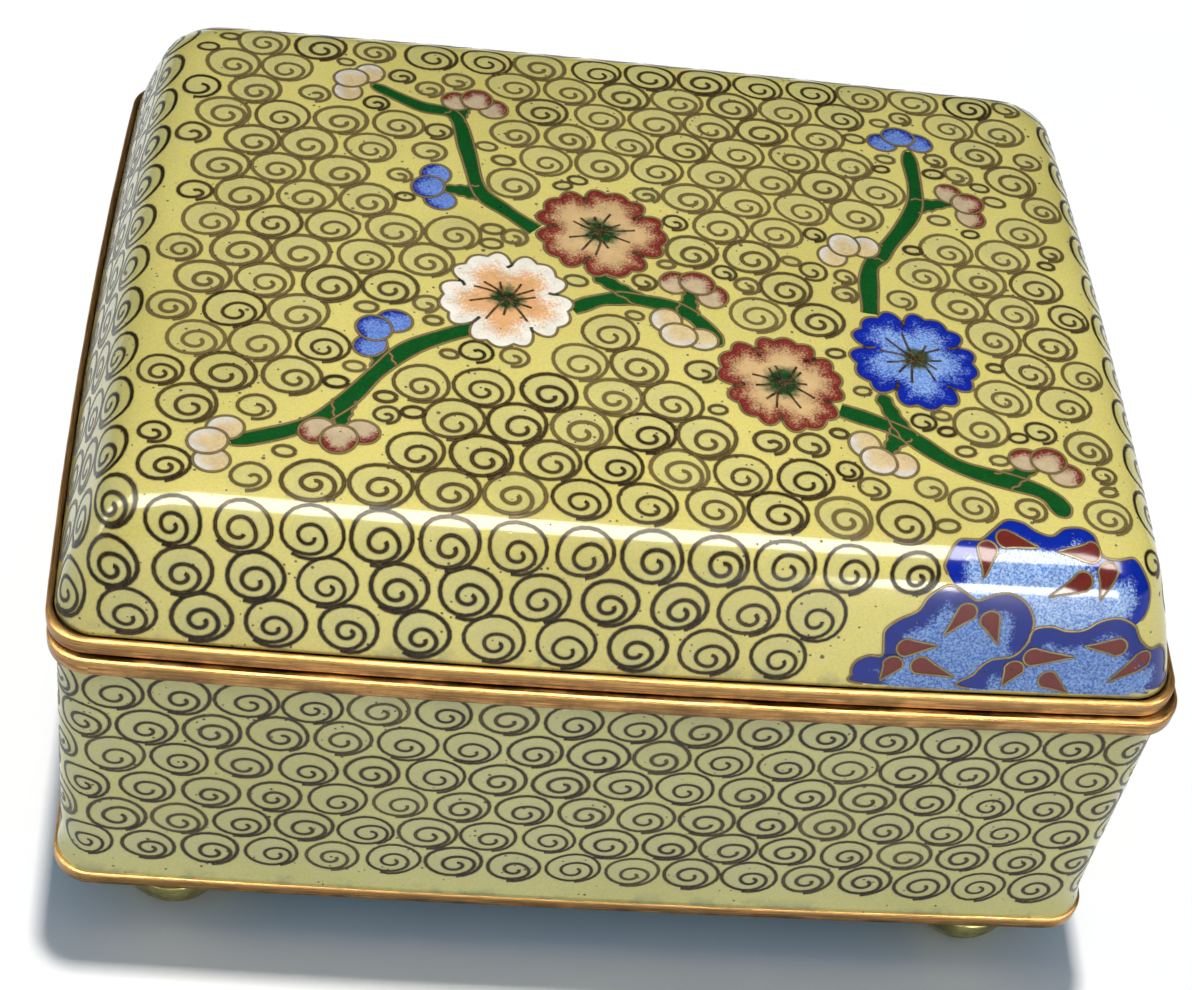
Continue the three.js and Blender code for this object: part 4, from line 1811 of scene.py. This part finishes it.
@dataclass
class Body:
    """Enamelled tray with its scrolls and the two edgings."""

    effects: Effects
    bow_share: float = 0.7
    floor: float = 2.0 * MM
    cove: float = 4.0 * MM
    fillet: float = 2.5 * MM
    plug: float = 0.5 * MM
    column: float = 0.62 * MM
    level: float = 0.5 * MM
    rows: int = 6
    first_row: float = 3.15 * MM
    spacing: float = 4.86 * MM
    pitch: float = 6.15 * MM
    scroll: float = 2.8 * MM
    wire_width: float = 0.58 * MM
    dark_band_height: float = 2.0 * MM
    plan: Plan = field(init=False)

    def __post_init__(self) -> None:
        """Takes the body's size from the frame."""
        low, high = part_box("base_mouth_rim")
        self.plan = Plan((high.x - low.x) / 2 - BOW, (high.y - low.y) / 2 - BOW)
        self.rim_low, self.collar_top = low.z, high.z
        self.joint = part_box("lid_rim")[0].z - 0.3 * MM
        self.base_low, self.base_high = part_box("base_foot_rim")[0].z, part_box("base_foot_rim")[1].z
        self.shell_low, self.shell_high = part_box("base_shell")[0].z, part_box("base_shell")[1].z

    def _courses(self) -> tuple[list[tuple[float, float, float, float]], int, int]:
        """Levels (inset, z, radius, scale) from the underside to the floor.

        Returns:
            The levels and the numbers of the first outer level and of the one after the last.
        """
        ledge, mouth = self.base_high + 0.02 * MM, self.shell_high
        levels = [(self.plug, self.shell_low, CORNER, scale) for scale in np.linspace(0, 1, 12)]
        levels.append((self.plug, ledge, CORNER, 1.0))
        first = len(levels)
        for share in np.linspace(0, 1, 8):
            inset = 0.12 * MM - 0.54 * MM * (1 - share) ** 2
            levels.append((inset, ledge + self.cove * share, CORNER, 1.0))
        start = ledge + self.cove
        for share in np.linspace(0, 1, 52)[1:]:
            levels.append(((0.12 + 0.66 * share) * MM, start + (mouth - start) * share, CORNER, 1.0))
        last = len(levels)
        levels.append((0.78 * MM + WALL, mouth, CORNER - WALL, 1.0))
        floor, fillet = self.shell_low + self.floor, self.fillet
        for turn in np.linspace(0, math.pi / 2, 9):
            inset = 0.12 * MM + WALL + fillet * (1 - math.cos(turn))
            levels.append((inset, floor + fillet * (1 - math.sin(turn)), CORNER - WALL, 1.0))
        end = levels[-1][0]
        levels += [(end, floor, CORNER - WALL, scale) for scale in np.linspace(1, 0, 12)[1:]]
        return levels, first, last

    def build(self) -> list[bpy.types.Object]:
        """The shell, its scrolls and the edgings.

        Returns:
            The pieces.
        """
        turns = self.plan.columns(self.column, BEND_STEPS)
        courses, first, last = self._courses()
        bow = BOW * self.bow_share
        rows = []
        for inset, z, radius, scale in courses:
            flat = self.plan.place(turns, np.array(inset), np.array(bow), np.array(radius)) * scale
            rows.append(np.concatenate([flat, np.full(flat.shape[:-1] + (1,), z)], -1))
        points = np.stack(rows)
        bare = weave(points)
        ground = Ground(bare)
        bare.free()
        scroll_field = ScrollField(ground, KeepOut(), 5)
        count = round(self.plan.girth(self.level, CORNER) / self.pitch)
        for row in range(self.rows):
            z = self.rim_low - self.first_row - row * self.spacing
            for turn in self.plan.spaced(count, 0.25 + 0.5 * (row % 2), self.level, CORNER):
                x, y = self.plan.place(np.array(turn), np.array(self.level), np.array(bow), np.array(CORNER))
                nudge = scroll_field.chance.uniform(-0.2, 0.2) * MM
                scroll_field.offer(np.array([x, y, z + nudge]), Vector((0, 0, 1)), self.scroll, 0.9, 0.25)
        wires = Wires("body_scroll_wires")
        scroll_field.lay(wires, self.wire_width)
        height = points[..., 2]
        # Darker bands beside the mouth and base edgings.
        near = 1 - smooth(np.minimum(self.rim_low - height, height - self.base_high), 0.0, self.dark_band_height)
        shade = np.zeros(points.shape[:2])
        shade[first:last] = scroll_field.shade(points[first:last])
        parts = np.ones(len(courses) - 1, int)
        parts[first:last - 1] = 0
        # Darker, greyer copy of the lid's yellow enamel: painted shade for the body's walls, which face away
        # from the top light.
        finish = GroundFinish(clean=srgb(206, 199, 124), inside=srgb(194, 190, 130))
        materials = [finish.material("Yellow_enamel_body_shaded", self.effects),
                     LiningFinish().material("Counter_enamel_body", self.effects)]
        shell = link("body_enamel_shell", weave(points, {"scroll": shade, "edging": near}, parts), materials)
        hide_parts("base_shell")
        wire = wires.build(WireFinish().material("Cloison_wire_body", self.effects))
        for piece, slot in ((shell, YELLOW_SLOT), (wire, COPPER_SLOT)):
            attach(piece, "root")
        return [shell, wire, self._mouth(), self._base()]

    def _mouth(self) -> bpy.types.Object:
        """Edging of the mouth with the collar that locates the lid.

        Returns:
            The edging.
        """
        low, high = self.rim_low, self.joint
        ease = 0.36 * MM
        section = rounded([
            (0.0, low, ease), (0.0, high, ease), (3.1 * MM, high, 0.1 * MM),
            (3.1 * MM, self.collar_top, 0.15 * MM), (3.9 * MM, self.collar_top, 0.15 * MM),
            (3.9 * MM, low + 0.3 * MM, 0.1 * MM), (0.95 * MM, low + 0.3 * MM, 0.0),
            (0.95 * MM, low, 0.1 * MM),
        ])
        edging = Edging("mouth_edging", self.plan, BOW, section, low, high)
        return edging.build("base_mouth_rim", self.effects)

    def _base(self) -> bpy.types.Object:
        """Edging round the bottom.

        Returns:
            The edging.
        """
        low, high = self.base_low, self.base_high
        outer = -0.65 * MM
        section = rounded([
            (outer, low, 0.3 * MM), (outer, high, 0.3 * MM), (1.25 * MM, high, 0.1 * MM),
            (1.25 * MM, low, 0.1 * MM),
        ])
        edging = Edging("base_edging", self.plan, BOW / 2, section, low, high)
        return edging.build("base_foot_rim", self.effects)


@dataclass
class Feet:
    """Four turned brass feet."""

    effects: Effects
    nodes: tuple = ("foot_front_left", "foot_front_right", "foot_back_left", "foot_back_right")
    bulge: float = 6.4 * MM
    drop: float = 0.3 * MM
    ease: float = 0.5 * MM
    steps: int = 56

    def build(self) -> list[bpy.types.Object]:
        """The feet, each in place of its CAD node.

        Returns:
            The pieces.
        """
        pieces = []
        material = BrassFinish().material("Brass_feet", self.effects)
        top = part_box("base_foot_rim")[0].z
        for name in self.nodes:
            low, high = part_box(name)
            radius = (high.x - low.x) / 2
            middle = high.z - self.drop
            profile = [(0.0, low.z)]
            flat = radius * math.sqrt(1 - ((low.z - middle) / self.bulge) ** 2)
            profile += [(flat - self.ease, low.z), (flat - self.ease * 0.3, low.z + 0.06 * MM)]
            for z in np.linspace(low.z + 0.3 * MM, top, 14):
                share = min(1.0, abs(z - middle) / self.bulge)
                profile.append((radius * math.sqrt(1 - share**2), float(z)))
            profile.append((0.0, top))
            centre = Vector(((low.x + high.x) / 2, (low.y + high.y) / 2, 0))
            shape = bmesh.new()
            shape.loops.layers.uv.new("UVMap")
            first = [shape.verts.new(centre + Vector((reach, 0, z))) for reach, z in profile]
            edges = [shape.edges.new(pair) for pair in zip(first, first[1:])]
            bmesh.ops.spin(
                shape, geom=first + edges, cent=centre, axis=(0, 0, 1), angle=2 * math.pi, steps=self.steps,
                use_merge=True
            )
            bmesh.ops.remove_doubles(shape, verts=shape.verts, dist=MERGE)
            bmesh.ops.recalc_face_normals(shape, faces=shape.faces)
            for face in shape.faces:
                face.smooth = True
            piece = link(f"brass_{name}", shape, [material])
            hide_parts(name)
            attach(piece, "root")
            pieces.append(piece)
        log.info("feet: %d", len(pieces))
        return pieces


# ---------------------------------------------------------------- studio


class Reach(Enum):
    """What a light falls on."""

    BOX = "box"
    FLOOR = "floor"


@dataclass(frozen=True)
class SoftLight:
    """One rectangular soft light; a gleam shows only as a reflection."""

    name: str
    azimuth: float
    elevation: float
    distance: float
    width: float
    height: float
    power: float
    reach: Reach = Reach.BOX
    gleam: bool = False
    colour: Colour = (1.0, 0.97, 0.92)

    def build(self, target: Vector, groups: dict[Reach, bpy.types.Collection]) -> None:
        """Places the light round the target; azimuth 0 is in front, and 90 to the right.

        Args:
            target: place that the light faces.
            groups: what each reach takes in.
        """
        turn, rise = math.radians(self.azimuth), math.radians(self.elevation)
        away = Vector((math.sin(turn) * math.cos(rise), -math.cos(turn) * math.cos(rise), math.sin(rise)))
        data = bpy.data.lights.new(self.name, "AREA")
        data.shape = "RECTANGLE"
        data.size, data.size_y = self.width, self.height
        data.energy = self.power
        data.color = self.colour
        lamp = bpy.data.objects.new(self.name, data)
        bpy.context.scene.collection.objects.link(lamp)
        right = Vector((math.cos(turn), math.sin(turn), 0))
        up = away.cross(right)
        lamp.location = target + away * self.distance
        lamp.rotation_mode = "QUATERNION"
        lamp.rotation_quaternion = Matrix((right, up, away)).transposed().to_quaternion()
        lamp.visible_diffuse = not self.gleam
        lamp.visible_glossy = self.gleam or self.reach is Reach.FLOOR
        lamp.light_linking.receiver_collection = groups[self.reach]


@dataclass(frozen=True)
class Studio:
    """Pale floor, soft lights and the camera."""

    lens: float = 67.12
    place: tuple = (-29.782 * MM, -165.649 * MM, 206.109 * MM)
    pitch: float = 0.8231
    roll: float = 0.2029
    yaw: float = -0.1801
    floor_half: float = 2.0
    sky: tuple = (0.76, 0.94, 1.16, 1.0)
    sky_strength: float = 0.32

    def build(self) -> None:
        """Makes the floor, lights, world and camera."""
        groups = {reach: bpy.data.collections.new(reach.value) for reach in Reach}
        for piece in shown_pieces():
            groups[Reach.BOX].objects.link(piece)
        groups[Reach.FLOOR].objects.link(self._floor())
        self._world()
        target = Vector((0, 0, 40 * MM))
        for light in (
            SoftLight("overhead", 0, 69, 0.172, 0.16, 0.1, 0.25, colour=(1.0, 0.955, 0.87)),
            SoftLight("front_fill", 35, 10, 0.8, 0.6, 0.3, 0.5),
            SoftLight("overhead_gleam", 0, 75, 0.9, 1.5, 0.42, 34.0, gleam=True),
            SoftLight("left_gleam", -78, 22, 0.8, 0.1, 0.8, 3.0, gleam=True),
            SoftLight("corner_gleam", 21, 2, 0.9, 0.16, 0.3, 4.0, gleam=True),
            SoftLight("behind", 0, 97.5, 1.3, 0.06, 0.06, 15.0, Reach.FLOOR),
        ):
            light.build(target, groups)
        self._camera()

    def _floor(self) -> bpy.types.Object:
        """Pale floor under the feet.

        Returns:
            The floor.
        """
        shape = bmesh.new()
        bmesh.ops.create_grid(shape, x_segments=1, y_segments=1, size=self.floor_half)
        material, graph = new_material("Pale_floor")
        grain = graph.noise(graph.where(), 30.0, 3.0)
        colour = graph.mix(grain, srgb(246, 246, 247), srgb(250, 250, 250))
        graph.finish({"Base Color": colour, "Roughness": 0.7})
        floor = link("floor", shape, [material])
        floor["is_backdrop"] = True
        return floor

    def _world(self) -> None:
        """Even pale surroundings, which light the box but don't show in its gloss."""
        world = bpy.data.worlds.new("white")
        bpy.context.scene.world = world
        world.use_nodes = True
        background = world.node_tree.nodes["Background"]
        background.inputs["Color"].default_value = self.sky
        background.inputs["Strength"].default_value = self.sky_strength
        world.cycles_visibility.glossy = False
        bpy.context.scene.view_settings.view_transform = "Standard"

    def _camera(self) -> None:
        """Camera above the front left corner."""
        data = bpy.data.cameras.new("camera")
        data.lens, data.sensor_width = self.lens, 36.0
        data.clip_start, data.clip_end = 0.01, 20.0
        camera = bpy.data.objects.new("camera", data)
        bpy.context.scene.collection.objects.link(camera)
        tip = Matrix.Rotation(-self.pitch, 3, "X")
        yaw = Matrix.Rotation(self.yaw, 3, "Z")
        level = Matrix.Rotation(math.pi / 2, 3, "X")
        roll = Matrix.Rotation(self.roll, 3, "Z")
        camera.rotation_mode = "QUATERNION"
        camera.rotation_quaternion = (yaw @ level @ tip @ roll).to_quaternion()
        camera.location = self.place
        bpy.context.scene.camera = camera


def main() -> None:
    """Builds the box and its studio."""
    logging.basicConfig(level=logging.INFO, format="%(name)s %(message)s")
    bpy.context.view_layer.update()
    effects = Effects()
    Body(effects).build()
    Lid(effects).build()
    Feet(effects).build()
    Studio().build()


if __name__ == "__main__":
    main()
